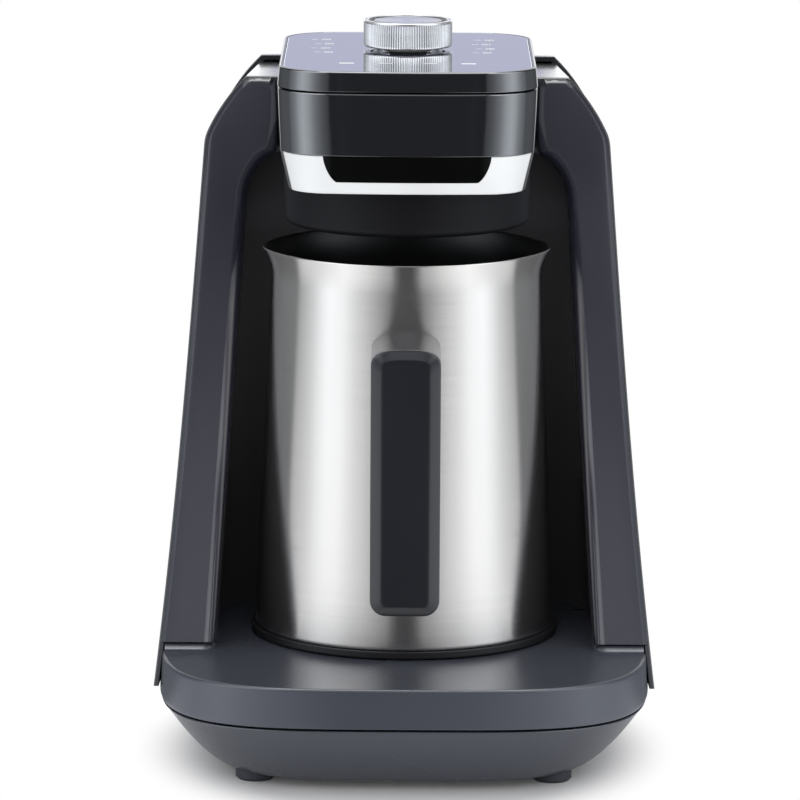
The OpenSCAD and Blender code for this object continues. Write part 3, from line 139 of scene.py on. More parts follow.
def cover_half(inset, z0, top_z, sides=40, turn=14, slope=22):
    """Right half of the covers: the side line, a tight arc, then a wide one to the flat top."""
    base_z = top_z - SHOULDER_RISE
    x, z = side_x(base_z) - TURN_R * math.cos(SHOULDER_A0), base_z - TURN_R * math.sin(SHOULDER_A0)
    drop = SLOPE_R - TURN_R
    sx, sz = x - drop * math.cos(KNEE), z - drop * math.sin(KNEE)
    rise = np.linspace(z0, base_z, sides, endpoint=False)
    side = np.stack([side_x(rise) - inset, rise], 1)
    end = math.degrees(math.asin((top_z - inset - sz) / (SLOPE_R - inset)))
    return np.vstack([side, arc(x, z, TURN_R - inset, TURN_FROM, TURN_TO, turn),
                      arc(sx, sz, SLOPE_R - inset, TURN_TO, end, slope)[1:]])


def mirrored(p):
    """A right half followed by its mirror image, so that the outline runs on."""
    q = p[::-1].copy()
    q[:, 0] *= -1
    return np.vstack([p, q])


def face_y(z):
    """The slanted front of the column: y grows by LEAN for each millimetre of height."""
    return COLUMN_Y + LEAN * (z - CURB_Z)


def arch_x(z):
    """Half-width of the arch: it flares by ARCH_FLARE for each millimetre downwards."""
    return ARCH_HALF + ARCH_FLARE * (ARCH_SPRING_Z - z)


def drawn_in(x):
    """The covers narrow towards the rear seam by SIDE_DRAFT on each side."""
    return x - np.sign(x) * SIDE_DRAFT


def bay_end_y(x):
    """Plan of the bay's back: flat in the middle, round towards the sides."""
    half = arch_x(DECK_Z) + 1
    d = np.clip(np.abs(x) - (half - BAY_CORNER_R), 0, BAY_CORNER_R)
    return BAY_REAR_Y - BAY_CORNER_R + np.sqrt(BAY_CORNER_R ** 2 - d ** 2)


HEAD_LEVELS = (HEAD_Z, TRIM_TOP_Z, CAP_Z, HEAD_TOP_Z)
HEAD_HALVES = (41.3, 44.6, 45.7, 45.0)
HEAD_CORNER, TRIM_FOOT_CORNER, HEAD_BOW = 20.0, 15.0, 1.2


def head_half(z):
    """Half-width of the head: it swells from the glass to the cap's seam, then tapers."""
    return np.interp(z, HEAD_LEVELS, HEAD_HALVES)


def head_plan(w, inset=0.0, front_r=HEAD_CORNER, n=264):
    """Rectangle with round corners whose front edge bows out by HEAD_BOW."""
    x, yf, yr = w - inset, HEAD_Y + inset, HEAD_REAR_Y - inset
    rf, rr = max(front_r - inset, 0.5), max(HEAD_CORNER - inset, 0.5)
    u = np.linspace(0, 1, 60)[:-1]
    right = np.vstack([
        np.stack([u * (x - rf), yf + HEAD_BOW * u * u], 1),
        arc(x - rf, yf + rf + HEAD_BOW, rf, -90, 0, 60),
        arc(x - rr, yr - rr, rr, 0, 90, 60)])
    left = right[::-1].copy()
    left[:, 0] *= -1
    return even(np.vstack([right, left[:-1]]), n)


# ---------- meshes from grids ----------


def stack(plan, z):
    """A ring: a plan in X and Y at height z."""
    return np.column_stack([plan, np.full(len(plan), float(z))])


def upright(outline, y):
    """A ring: an outline in X and Z at depth y."""
    return np.column_stack([outline[:, 0], np.full(len(outline), float(y)), outline[:, 1]])


def grid_faces(rows, cols, wrap_rows, wrap_cols, start=0):
    """Four-cornered faces between neighbouring rows and columns, as lists of point numbers."""
    i = np.arange(rows if wrap_rows else rows - 1)
    j = np.arange(cols if wrap_cols else cols - 1)
    i, j = np.meshgrid(i, j, indexing="ij")
    i2, j2 = (i + 1) % rows, (j + 1) % cols
    f = np.stack([i * cols + j, i * cols + j2, i2 * cols + j2, i2 * cols + j], -1)
    return (f.reshape(-1, 4) + start).tolist()


class Shape:
    """Grids of points gathered into one mesh."""

    def __init__(self):
        self.points, self.faces, self.count = [], [], 0

    def grid(self, g, wrap_rows=False, wrap_cols=True, caps=(False, False)):
        """Rings g[i] joined in order; caps close the first and the last ring."""
        g = np.asarray(g, float)
        rows, cols = g.shape[:2]
        self.faces += grid_faces(rows, cols, wrap_rows, wrap_cols, self.count)
        if caps[0]:
            self.faces.append((self.count + np.arange(cols)[::-1]).tolist())
        if caps[1]:
            self.faces.append((self.count + (rows - 1) * cols + np.arange(cols)).tolist())
        self.points.append(g.reshape(-1, 3))
        self.count += rows * cols
        return self

    def turned(self, profile, cx, cy, n=128):
        """A profile of (radius, height) points turned about the upright axis at (cx, cy)."""
        p = np.asarray(profile, float)
        a = np.linspace(0, 2 * np.pi, n, endpoint=False)
        g = np.stack([cx + p[:, :1] * np.cos(a), cy + p[:, :1] * np.sin(a),
                      np.repeat(p[:, 1:], n, 1)], -1)
        return self.grid(g, caps=(True, True))

    def prism(self, polygon, axis, lo, hi):
        """A polygon in the other two axes, run along axis from lo to hi."""
        p = np.asarray(polygon, float)
        g = np.zeros((2, len(p), 3))
        others = [k for k in range(3) if k != axis]
        g[:, :, others[0]], g[:, :, others[1]] = p[:, 0], p[:, 1]
        g[0, :, axis], g[1, :, axis] = lo, hi
        return self.grid(g, caps=(True, True))

    def block(self, lo, hi):
        """A box from its lowest to its highest corner."""
        x0, y0, z0 = lo
        x1, y1, z1 = hi
        return self.prism([(x0, y0), (x1, y0), (x1, y1), (x0, y1)], 2, z0, z1)

    def rod(self, axis, centre, lo, hi, r, n=40):
        """A cylinder of radius r along axis."""
        a = np.linspace(0, 2 * np.pi, n, endpoint=False)
        return self.prism(np.stack([centre[0] + r * np.cos(a), centre[1] + r * np.sin(a)], 1),
                          axis, lo, hi)

    def mesh(self, name):
        """A Blender mesh of all the grids, in metres."""
        m = bpy.data.meshes.new(name)
        m.from_pydata(np.vstack(self.points) * MM, [], self.faces)
        m.validate()
        m.update()
        return m


def volume_sign(m):
    """Six times the signed volume of a mesh, from its triangles."""
    m.calc_loop_triangles()
    t = np.zeros(len(m.loop_triangles) * 3, np.int32)
    m.loop_triangles.foreach_get("vertices", t)
    co = np.zeros(len(m.vertices) * 3)
    m.vertices.foreach_get("co", co)
    a, b, c = co.reshape(-1, 3)[t.reshape(-1, 3)].transpose(1, 0, 2)
    return float(np.einsum("ij,ij->i", a, np.cross(b, c)).sum())


def smooth(obj, angle):
    """Smooth shading, with edges sharper than the angle left sharp."""
    m = obj.data
    m.polygons.foreach_set("use_smooth", np.ones(len(m.polygons), bool))
    m.set_sharp_from_angle(angle=math.radians(angle))


def solid(name, shape):
    """A hidden helper or a raw piece from one shape, with its faces pointing outwards."""
    obj = bpy.data.objects.new(name, shape.mesh(name))
    bpy.context.scene.collection.objects.link(obj)
    if volume_sign(obj.data) < 0:
        obj.data.flip_normals()
    return obj


def baked(obj):
    """The object's mesh with its modifiers applied."""
    bpy.context.view_layer.update()
    dg = bpy.context.evaluated_depsgraph_get()
    new = bpy.data.meshes.new_from_object(obj.evaluated_get(dg))
    obj.modifiers.clear()
    old, obj.data = obj.data, new
    new.name = obj.name
    bpy.data.meshes.remove(old)


def carve(obj, *cutters, operation="DIFFERENCE"):
    """Cuts each cutter out of obj and takes the cutters away."""
    helpers = [solid("cutter", c) for c in cutters]
    for h in helpers:
        m = obj.modifiers.new("cut", "BOOLEAN")
        m.object, m.operation, m.solver = h, operation, "EXACT"
    baked(obj)
    for h in helpers:
        spare = h.data
        bpy.data.objects.remove(h)
        bpy.data.meshes.remove(spare)


def merged(obj):
    """Joins points that lie within a hundredth of a millimetre of each other."""
    bm = bmesh.new()
    bm.from_mesh(obj.data)
    bmesh.ops.remove_doubles(bm, verts=bm.verts, dist=0.01 * MM)
    bm.to_mesh(obj.data)
    bm.free()


def sliced(obj, point, normal):
    """Cuts the faces along a plane, so that a finish can end there."""
    bm = bmesh.new()
    bm.from_mesh(obj.data)
    bmesh.ops.bisect_plane(bm, geom=bm.verts[:] + bm.edges[:] + bm.faces[:],
                           plane_co=Vector(point) * MM, plane_no=normal)
    bm.to_mesh(obj.data)
    bm.free()


def centres(obj):
    """Centres of an object's faces, in millimetres."""
    c = np.zeros(len(obj.data.polygons) * 3)
    obj.data.polygons.foreach_get("center", c)
    return c.reshape(-1, 3) / MM


def tint(obj, material, where):
    """Gives some faces of a placed piece a second finish."""
    obj.data.materials.append(material)
    obj.data.polygons.foreach_set("material_index", where.astype(np.int32))


def place(obj, body, material, slot, nodes=(), angle=32):
    """Gives a finished piece its shading, finish and body; the slot is not used."""
    obj.data.materials.clear()
    obj.data.materials.append(material)
    obj.data.polygons.foreach_set("material_index",
                                  np.zeros(len(obj.data.polygons), np.int32))
    smooth(obj, angle)
    even_out = obj.modifiers.new("even shading", "WEIGHTED_NORMAL")
    even_out.keep_sharp = True
    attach(obj, body)
    if nodes:
        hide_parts(*nodes)


def piece(name, shape, body, material, slot, nodes=(), angle=32, cutters=(),
          operation="DIFFERENCE"):
    """A finished piece from a shape and from what is cut out of it."""
    obj = solid(name, shape)
    if cutters:
        carve(obj, *cutters, operation=operation)
    place(obj, body, material, slot, nodes, angle)
    return obj


# ---------- sizes and colours that a user would change ----------


def length(name, text, default, lo=0.0, hi=1.0):
    """A length in metres."""
    return bpy.props.FloatProperty(name=name, description=text, default=default, min=lo, max=hi,
                                   unit="LENGTH", subtype="DISTANCE", precision=5)


def colour(name, text, default):
    """A colour of a finish."""
    return bpy.props.FloatVectorProperty(name=name, description=text, default=default,
                                         subtype="COLOR", size=3, min=0.0, max=1.0)


def factor(name, text, default, lo=0.0, hi=1.0):
    """A plain share or strength."""
    return bpy.props.FloatProperty(name=name, description=text, default=default, min=lo, max=hi,
                                   subtype="FACTOR")


class BodySizes(bpy.types.PropertyGroup):
    """Sizes of the base and the column"""
    lip: length("Arch lip", "Rounding of the arch's front edge", 0.0022, 0.001, 0.004)
    deck_edge: length("Deck edge", "Rounding of the deck's upper edge", 0.0012, 0.0004, 0.002)
    curb: length("Curb", "Reach of the hollow curb at the column's feet", 0.0032, 0.0024, 0.0046)
    cover_edge: length("Cover edge", "Rounding of the cover's front edge", 0.0005, 0.0002, 0.001)


class HeadSizes(bpy.types.PropertyGroup):
    """Sizes of the head"""
    edge: length("Cap edge", "Rounding of the cap's upper edge", 0.0006, 0.0002, 0.001)
    panel_edge: length("Panel edge", "Rounding above the front panel", 0.0007, 0.0002, 0.001)
    window_top: length("Window width", "Width of the blank window at its top", 0.0586, 0.05, 0.062)
    window_foot: length("Window foot", "Width of the blank window at its foot", 0.0488, 0.04, 0.06)


class KnobSizes(bpy.types.PropertyGroup):
    """Sizes of the knob and its button"""
    ribs: bpy.props.IntProperty(name="Ribs", description="Ribs round the knob", default=112,
                                min=48, max=160)
    rib_depth: length("Rib depth", "Depth of the grooves between the ribs", 0.00018, 0.0001, 0.001)
    button: length("Button width", "Diameter of the start button", 0.0244, 0.02, 0.026)


class PotSizes(bpy.types.PropertyGroup):
    """Sizes of the pot and its handle"""
    wall: length("Wall", "Thickness of the pot's steel", 0.001, 0.0006, 0.002)
    flare: length("Flare", "Flare of the rim all round", 0.0014, 0.0, 0.003)
    lips: length("Lips", "Extra reach of the two pouring lips", 0.0024, 0.0, 0.004)
    chamfer: length("Handle chamfer", "Width of the chamfer round the handle's cover", 0.0034,
                    0.001, 0.005)


class Finishes(bpy.types.PropertyGroup):
    """Colours of the main finishes"""
    charcoal: colour("Charcoal", "Satin plastic of base and deck", (0.054, 0.060, 0.081))
    slate: colour("Slate", "Satin plastic of the column's front", (0.023, 0.024, 0.038))
    cover: colour("Cover", "Satin plastic of the outer covers", (0.012, 0.013, 0.016))
    gloss: colour("Gloss", "Polished plastic of the head", (0.006, 0.006, 0.008))
    steel: colour("Steel", "Brushed steel of the pot", (0.745, 0.707, 0.664))
    bright: colour("Bright", "Satin silver of the trim", (0.90, 0.92, 0.93))
    glass: colour("Glass", "Dark glass of the touch panel", (0.02, 0.02, 0.05))
    grain: factor("Grain", "Strength of the moulded grain", 0.16)


class StageSizes(bpy.types.PropertyGroup):
    """Camera and light"""
    lens: bpy.props.FloatProperty(name="Lens", description="Focal length in millimetres",
                                  default=258.2, min=20.0, max=400.0)
    distance: length("Distance", "From the pot's axis back to the camera", 2.0348, 0.5, 6.0)
    height: length("Height", "Height of the camera", 0.48405, 0.0, 3.0)
    pitch: bpy.props.FloatProperty(name="Pitch", description="How far the camera looks down",
                                   default=math.radians(10.04), subtype="ANGLE")
    roll: bpy.props.FloatProperty(name="Roll", description="How far the camera leans to its left",
                                  default=math.radians(0.34), subtype="ANGLE")
    ambient: factor("Ambient", "Strength of the soft light all round", 1.0, 0.0, 3.0)
    wall: factor("Light wall", "Strength of the reflectors' light", 1.6, 0.0, 4.0)
    lid: factor("Top card", "Strength of the card above that edges catch", 5.5, 0.0, 20.0)
    floor_glow: factor("Floor glow", "How far the floor away from the base is white", 1.0)


# ---------- finishes ----------


def new_material(name):
    """A node material, its tree and its main shader."""
    mat = bpy.data.materials.new(name)
    mat.use_nodes = True
    tree = mat.node_tree
    return mat, tree, tree.nodes["Principled BSDF"]


def feed(tree, node, inputs):
    """Sets a node's inputs, and links those that are given another node's socket."""
    for key, value in inputs.items():
        if isinstance(value, bpy.types.NodeSocket):
            tree.links.new(value, node.inputs[key])
        else:
            node.inputs[key].default_value = value
    return node


def add(tree, kind, inputs=None, **settings):
    """A new shader node with its settings and inputs."""
    node = tree.nodes.new("ShaderNode" + kind)
    for key, value in settings.items():
        setattr(node, key, value)
    return feed(tree, node, inputs or {})


def sums(tree, operation, *values):
    """The result of a Math node."""
    return add(tree, "Math", dict(enumerate(values)), operation=operation).outputs["Value"]


def own_place(tree):
    """X, Y and Z in the object's own coordinates."""
    coords = add(tree, "TexCoord").outputs["Object"]
    return add(tree, "SeparateXYZ", {"Vector": coords}).outputs


def noise(tree, scale, detail=3.0, stretch=(1, 1, 1), source="Object"):
    """Noise on the object's own coordinates or its UV map."""
    coords = add(tree, "TexCoord").outputs[source]
    mapping = add(tree, "Mapping", {"Scale": stretch, "Vector": coords})
    return add(tree, "TexNoise", {"Scale": scale, "Detail": detail,
                                  "Vector": mapping.outputs["Vector"]}).outputs["Fac"]


def ranged(tree, source, lo, hi):
    """Maps a noise's usual 0.25 to 0.75 onto lo to hi."""
    return add(tree, "MapRange", {"From Min": 0.25, "From Max": 0.75, "To Min": lo,
                                  "To Max": hi, "Value": source}).outputs["Result"]


def bumped(tree, shader, height, strength, distance):
    """Gives a shader a bump of so many metres."""
    bump = add(tree, "Bump", {"Strength": strength, "Distance": distance, "Height": height})
    feed(tree, shader, {"Normal": bump.outputs["Normal"]})


def blended(tree, shader, source, a, b):
    """A base colour that drifts from a to b with a noise."""
    ramp = add(tree, "ValToRGB", {"Fac": source})
    for mark, rgb, position in zip(ramp.color_ramp.elements, (a, b), (0.3, 0.7)):
        mark.color, mark.position = (*rgb, 1), position
    feed(tree, shader, {"Base Color": ramp.outputs["Color"]})


def moulded(name, rgb, rough=0.36, grain=0.15, spread=0.05, specular=0.5, coat=0.0):
    """Moulded plastic: a fine erosion grain in the bump, slow drift in colour and gloss."""
    mat, tree, shader = new_material(name)
    slow, rgb = noise(tree, 14.0, 2.0), np.array(rgb)
    blended(tree, shader, slow, rgb * 0.94, rgb * 1.06)
    feed(tree, shader, {"Coat Weight": coat, "Coat Roughness": 0.12,
                        "Specular IOR Level": specular,
                        "Roughness": ranged(tree, slow, rough - spread, rough + spread)})
    bumped(tree, shader, noise(tree, 2600.0, 2.0), grain, 0.00008)
    return mat


def polished(name, rgb, rough=0.05, coat=0.0, specular=0.5, ior=1.5):
    """Polished plastic or lacquer: almost a mirror, with a faint ripple from the mould."""
    mat, tree, shader = new_material(name)
    slow, rgb = noise(tree, 9.0, 1.0), np.array(rgb)
    blended(tree, shader, slow, rgb * 0.9, rgb * 1.1)
    feed(tree, shader, {"IOR": ior, "Specular IOR Level": specular, "Coat Weight": coat,
                        "Coat Roughness": 0.03,
                        "Roughness": ranged(tree, slow, rough * 0.8, rough * 1.25)})
    bumped(tree, shader, slow, 0.02, 0.0004)
    return mat


def brushed(name, rgb, rough=0.24, aniso=0.6, scale=(6.0, 2600.0, 1.0), turn=0.25, bump=0.05):
    """Brushed metal: streaks along U from stretched noise, highlights drawn out across them."""
    mat, tree, shader = new_material(name)
    streak, rgb = noise(tree, 1.0, 3.0, scale, "UV"), np.array(rgb)
    tangent = add(tree, "Tangent", direction_type="UV_MAP", uv_map="UVMap")
    blended(tree, shader, noise(tree, 8.0, 2.0), rgb * 0.97, rgb * 1.02)
    feed(tree, shader, {"Metallic": 1.0, "Anisotropic": aniso, "Anisotropic Rotation": turn,
                        "Tangent": tangent.outputs["Tangent"],
                        "Roughness": ranged(tree, streak, rough * 0.85, rough * 1.15)})
    bumped(tree, shader, streak, bump, 0.00002)
    return mat


def metal(name, rgb, rough=0.2, grain=0.04, metallic=1.0):
    """Plain turned or pressed metal with a slow drift in gloss."""
    mat, tree, shader = new_material(name)
    slow, rgb = noise(tree, 30.0, 2.0), np.array(rgb)
    blended(tree, shader, slow, rgb * 0.95, np.minimum(rgb * 1.03, 1))
    feed(tree, shader, {"Metallic": metallic,
                        "Roughness": ranged(tree, slow, rough * 0.8, rough * 1.2)})
    bumped(tree, shader, noise(tree, 1800.0, 2.0), grain, 0.00005)
    return mat


def painted_dark_sides(mat, dark):
    """Darken a finish beyond |x| = a + b z, where the trim turns into its sides: a painted dark
    reflection on the trim's sides.
    """
    tree = mat.node_tree
    shader = tree.nodes["Principled BSDF"]
    slope = (head_half(TRIM_TOP_Z) - head_half(HEAD_Z)) / (TRIM_TOP_Z - HEAD_Z)
    start = (head_half(HEAD_Z) - 1.3 - slope * HEAD_Z) * MM
    spot = own_place(tree)
    past = sums(tree, "ADD", sums(tree, "ABSOLUTE", spot["X"]),
                sums(tree, "MULTIPLY_ADD", spot["Z"], -slope, -start))
    share = add(tree, "MapRange", {"From Min": -0.0001, "From Max": 0.0002, "To Min": 1.0,
                                   "To Max": dark, "Value": past})
    plain = shader.inputs["Base Color"].links[0].from_socket
    scaled = add(tree, "VectorMath", {0: plain, "Scale": share.outputs["Result"]},
                 operation="SCALE")
    feed(tree, shader, {"Base Color": scaled.outputs["Vector"]})
    return mat


def finishes():
    """All finishes by name, made once."""
    made = bpy.context.scene.get("coffee_finishes")
    if made:
        return {k: bpy.data.materials[v] for k, v in made.items()}
    f = bpy.context.scene.coffee_finish
    g = f.grain
    made = {
        "charcoal": moulded("charcoal satin", f.charcoal, 0.28, g, specular=0.8),
        "slate": moulded("slate satin", f.slate, 0.2, g, 0.03, 1.0),
        "cover": moulded("cover satin", f.cover, 0.26, g, coat=1.0),
        "gloss": polished("gloss black", f.gloss, 0.06, 0.0, 1.0, 2.0),
        "window": polished("window black", (0.002, 0.002, 0.002), 0.1, 0.0, 0.4),
        "glass": polished("panel glass", f.glass, 0.025, 1.0, 0.5, 1.8),
        # the trim's sides get a painted dark reflection
        "bright": painted_dark_sides(metal("satin silver", f.bright, 0.4, 0.02, 0.05), 0.10),
        "knob": metal("polished ribs", (0.95, 0.95, 0.96), 0.1, 0.01, 0.78),
        "steel": brushed("brushed steel", f.steel, 0.22, 0.95, (4.0, 900.0, 1.0), 0.25, 0.02),
        # dark steel of the head screws, and painted shade inside the pot
        "hollow": metal("dark spun steel", (0.09, 0.09, 0.09), 0.35, 0.05),
        "inside": metal("spun steel", (0.6, 0.6, 0.6), 0.3, 0.05),
        "foot": moulded("pot foot black", (0.008, 0.008, 0.009), 0.4, 0.1),
        "grip": moulded("grip satin", (0.031, 0.031, 0.036), 0.22, 0.1, 0.03, 0.5),
        "face": moulded("grip face", (0.010, 0.011, 0.016), 0.2, 0.08, 0.03, 0.8),
        "skirt": moulded("skirt black", (0.010, 0.010, 0.012), 0.4, 0.08, 0.04, 0.12),
        # a dull copy of the column's plastic, tuned to the bay's even darkness: painted shade
        "bay": moulded("bay black", (0.080, 0.080, 0.086), 0.5, 0.08, 0.04, 0.1),
        "print": moulded("touch mark print", (0.95, 0.95, 0.98), 0.4, 0.05),
        "rubber": moulded("foot rubber", (0.035, 0.040, 0.052), 0.6, 0.4),
        "screw": metal("screw steel", (0.6, 0.6, 0.62), 0.3),
        "brass": metal("contact brass", (0.78, 0.6, 0.3), 0.28),
        "board": moulded("board green", (0.02, 0.12, 0.05), 0.35, 0.3),
        "nylon": moulded("natural nylon", (0.72, 0.7, 0.62), 0.45, 0.1),
        "iron": metal("core iron", (0.3, 0.3, 0.31), 0.45),
        "blue": moulded("relay blue", (0.02, 0.07, 0.3), 0.3, 0.05),
        "yellow": moulded("film yellow", (0.7, 0.42, 0.04), 0.3, 0.05),
        "grey": moulded("cable grey", (0.3, 0.3, 0.32), 0.5, 0.1),
        "amber": moulded("touch film", (0.3, 0.17, 0.05), 0.4, 0.05),
        "lens": polished("sensor lens", (0.05, 0.004, 0.005), 0.04),
        "dull": metal("heated steel", (0.33, 0.3, 0.28), 0.4),
    }
    bpy.context.scene["coffee_finishes"] = {k: m.name for k, m in made.items()}
    return made


NODE_FINISH = {
    "rubber_feet": "rubber", "tub_screws": "screw", "rear_cover_screws": "screw",
    "cord_gland": "foot", "cord_clamp": "nylon", "pot_socket": "foot",
    "socket_contacts": "brass", "socket_screws": "screw", "power_board": "board",
    "power_board_screws": "screw", "transformer": "iron", "relay": "blue",
    "filter_capacitor": "yellow", "terminal_block": "nylon", "touch_sheet": "amber",
    "sensor_board": "board", "sensor_lenses": "lens", "control_board": "board",
    "control_board_screws": "screw", "ribbon_cable": "grey", "buzzer": "foot",
    "head_screws": "hollow", "encoder_body": "foot", "start_switch": "screw",
    "knob_bush": "nylon", "pot_foot_screws": "screw", "heater_plate": "inside",
    "heating_element": "dull", "thermal_cutout": "nylon", "pot_plug": "foot",
    "plug_pins": "brass", "handle_bracket": "screw", "handle_screws": "screw",
}


class COFFEE_OT_inner_parts(bpy.types.Operator):
    """Give the parts that keep their solid shape their finishes"""
    bl_idname = "coffee.inner_parts"
    bl_label = "Inner parts"

    def execute(self, context):
        f = finishes()
        for node, finish in NODE_FINISH.items():
            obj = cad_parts[node]
            obj.data.materials.clear()
            obj.data.materials.append(f[finish])
        return {"FINISHED"}


# ---------- base ----------


TUB_FLAT, TUB_SWELL = (66, 82.3, 97), (20.9, 18.7, 22)  # half-width, front and rear reach
TUB_POWER, TUB_WALL = 0.68, 3.1
DECK_PLAN = (90.0, 102.0, 117.7)
SEAM_IN, DECK_DRAFT, FRONT_DRAFT, DECK_RISE = 2.6, 0.875, 0.65, 14.1
CURB_TURN_R, STEP_TOP_Z = 3.0, 60.0
TUB_SCREW_X, TUB_SCREW_AHEAD, TUB_SCREW_BEHIND = 40, 58, 12
VENTS, VENT_PITCH, VENT_WIDTH, VENT_HALF = 8, 7, 3, 17


def tub_plan(s, inset):
    """The tub's plan at share s of its swell from the flat underside to the seam."""
    return egg(*(flat + swell * s - inset for flat, swell in zip(TUB_FLAT, TUB_SWELL)))


def tub_shape():
    """Height = s^(1 / TUB_POWER) of the tub's, so it leaves its underside level and rises."""
    s = np.linspace(0, 1, 34)
    z = TUB_Z + (SEAM_Z - TUB_Z) * s ** (1 / TUB_POWER)
    outer = [stack(tub_plan(a, 0), b) for a, b in zip(s[:-1], z)]
    outer += [stack(tub_plan(1, d), SEAM_Z - h) for d, h in ((0.02, 0.4), (0.15, 0.1), (0.4, 0))]
    inner = [stack(tub_plan(a, TUB_WALL), max(b, TUB_Z + 2.5)) for a, b in zip(s[::-4], z[::-4])]
    return Shape().grid(outer + inner, caps=(True, True))


def deck_ring(side, front, z):
    """The deck's plan at height z, drawn in by side at the sides and by front at the ends."""
    half, ahead, behind = DECK_PLAN
    return stack(egg(half - side, ahead - front, behind - front), z)


def deck_shape(edge):
    """The side is drawn in by DECK_DRAFT u at share u of DECK_RISE, then a quarter ellipse
    turns it level."""
    rings = [deck_ring(6.0, 3.6, z) for z in (DECK_Z - 3, DECK_UNDER_Z)]
    rings += [deck_ring(SEAM_IN + d, d, DECK_UNDER_Z + h) for d, h in ((0.35, 0.0), (0.12, 0.12))]
    for u in np.linspace(0.03, 0.915, 12):
        rings.append(deck_ring(SEAM_IN + DECK_DRAFT * u, FRONT_DRAFT * u,
                               DECK_UNDER_Z + DECK_RISE * u))
    for t in np.radians(np.linspace(0, 90, 9))[1:]:
        d = 1.1 * edge * (1 - math.cos(t))
        rings.append(deck_ring(3.4 + d, 0.6 + d, DECK_Z - edge + edge * math.sin(t)))
    return Shape().grid(rings, caps=(True, True))


def curb_shape(reach, side):
    """A 45 degree ramp and a concave arc (radius (reach - height) / 0.414) carried along the
    column's foot and round the arch's lip."""
    x_in, x_out, y0 = arch_x(FOOT_Z), float(side_x(41.0)) - FASCIA_IN, face_y(FOOT_Z)
    turn, outward = (arc(*circle, -90, -180, 10) for circle in
                     ((x_in + CURB_TURN_R, y0 + CURB_TURN_R, CURB_TURN_R), (0, 0, 1)))
    path = np.vstack([[[x_out, y0]], turn, [[x_in, COLUMN_Y + 28]]])
    normal = np.vstack([[[0, -1]], outward, [[-1, 0]]])
    h, t = FOOT_Z - DECK_Z, np.radians(np.linspace(45, 0, 9))
    rho = (reach - h) / 0.414
    ramp = h - 0.293 * rho
    d = np.concatenate([[-3, -3, 0], ramp + rho * (math.sin(t[0]) - np.sin(t)), [reach]])
    z = np.concatenate([[DECK_Z - 1, FOOT_Z, FOOT_Z],
                        FOOT_Z - ramp - rho * (np.cos(t) - math.cos(t[0])), [DECK_Z - 1]])
    g = np.stack([path[:, :1] + normal[:, :1] * d, path[:, 1:] + normal[:, 1:] * d,
                  np.repeat(z[None], len(path), 0)], -1)
    return Shape().grid(g * [side, 1, 1], wrap_cols=True, caps=(True, True))


def skirt_step():
    """The step in the deck's sides that lets the covers hang outside it."""
    x = side_x(DECK_Z) - COVER_T - GAP
    rear_x = x - SIDE_DRAFT
    z0, z1 = COVER_Z - GAP, STEP_TOP_Z
    plan = np.array([(x, -200), (200, -200), (200, 300), (rear_x, 300), (rear_x, REAR_SEAM_Y),
                     (x, COLUMN_Y)])
    low = np.column_stack([plan, np.full(6, z0)])
    high = np.column_stack([plan, np.full(6, z1)])
    for ring, z in ((low, z0), (high, z1)):
        ring[:, 1] = np.maximum(ring[:, 1], face_y(z) - GAP)
    sides = [Shape().grid(np.stack([low, high]) * [k, 1, 1], caps=(True, True)) for k in (1, -1)]
    cx, cy = rear_x - REAR_ROUND, REAR_Y - COVER_T - GAP - REAR_ROUND
    corner = np.vstack([arc(cx, cy, REAR_ROUND, 0, 90, 16), [[cx, 200], [200, 200], [200, cy]]])
    return sides + [Shape().prism(corner * [k, 1], 2, z0, z1) for k in (1, -1)]


class COFFEE_OT_base(bpy.types.Operator):
    """Build the tub and the deck with its curbs"""
    bl_idname = "coffee.base"
    bl_label = "Base"

    def execute(self, context):
        f, sizes = finishes(), context.scene.coffee_body
        plastic = ("machine", f["charcoal"], "charcoal_plastic")
        screws = [(x, y) for x in (-TUB_SCREW_X, TUB_SCREW_X)
                  for y in (POT_Y - TUB_SCREW_AHEAD, REAR_SEAM_Y - TUB_SCREW_BEHIND)]
        wells = [Shape().rod(2, c, TUB_Z - 1, TUB_Z + 9, SCREW_WELL_R) for c in screws]
        vents = [Shape().block((-VENT_HALF, y, TUB_Z - 1), (VENT_HALF, y + VENT_WIDTH, TUB_Z + 4))
                 for y in POT_Y + VENT_PITCH * (np.arange(VENTS) - VENTS // 2)]
        piece("tub_skin", tub_shape(), *plastic, ["base_tub"], cutters=wells + vents)
        deck = solid("deck_skin", deck_shape(sizes.deck_edge / MM))
        carve(deck, *skirt_step())
        sliced(deck, (0, face_y(0.0) - GAP, 0), (0, 1, -LEAN))
        step_z = COVER_Z - GAP - 0.05
        sliced(deck, (0, 0, step_z), (0, 0, 1))
        place(deck, *plastic, ["base_deck"])
        c = centres(deck)
        tint(deck, f["cover"], (c[:, 1] > face_y(c[:, 2]) - GAP) & (c[:, 2] < step_z))
        for name, side in (("curb_left", -1), ("curb_right", 1)):
            piece(name, curb_shape(sizes.curb / MM, side), *plastic, ["base_deck"], 40)
        return {"FINISHED"}


# ---------- column ----------


FOOT_ROWS, TOP_ROWS = 3, 17  # rows of the arch's path below the front's foot and along its top
BLEND_ROWS, SLOT_DEPTH = 10, 14.0
NOTCH_HALF, NOTCH_GAP = 46.2, 1.5
LIP_CHAMFER, LIP_DROP, LIP_ARC = 22, 0.181, 0.884  # degrees, then shares of the lip's size
FASCIA_WALL = 1.8
LOUVRES, LOUVRE_PITCH, LOUVRE_HEIGHT, LOUVRE_HALF = 9, 6.5, 3, 17
LOUVRE_X, LOUVRE_DROP = 24, 92
SLOT_HALF, SLOT_TAPER = 49.1, 0.012
EDGE_BEVEL, EDGE_SUPPORT, LIP_SUPPORT, FACE_SIDE = 0.25, 0.6, 0.35, 2.6
SOCKET_HALF, GLAND_HOLE_R, REAR_SCREW_IN = 15.3, 6.55, 5.1


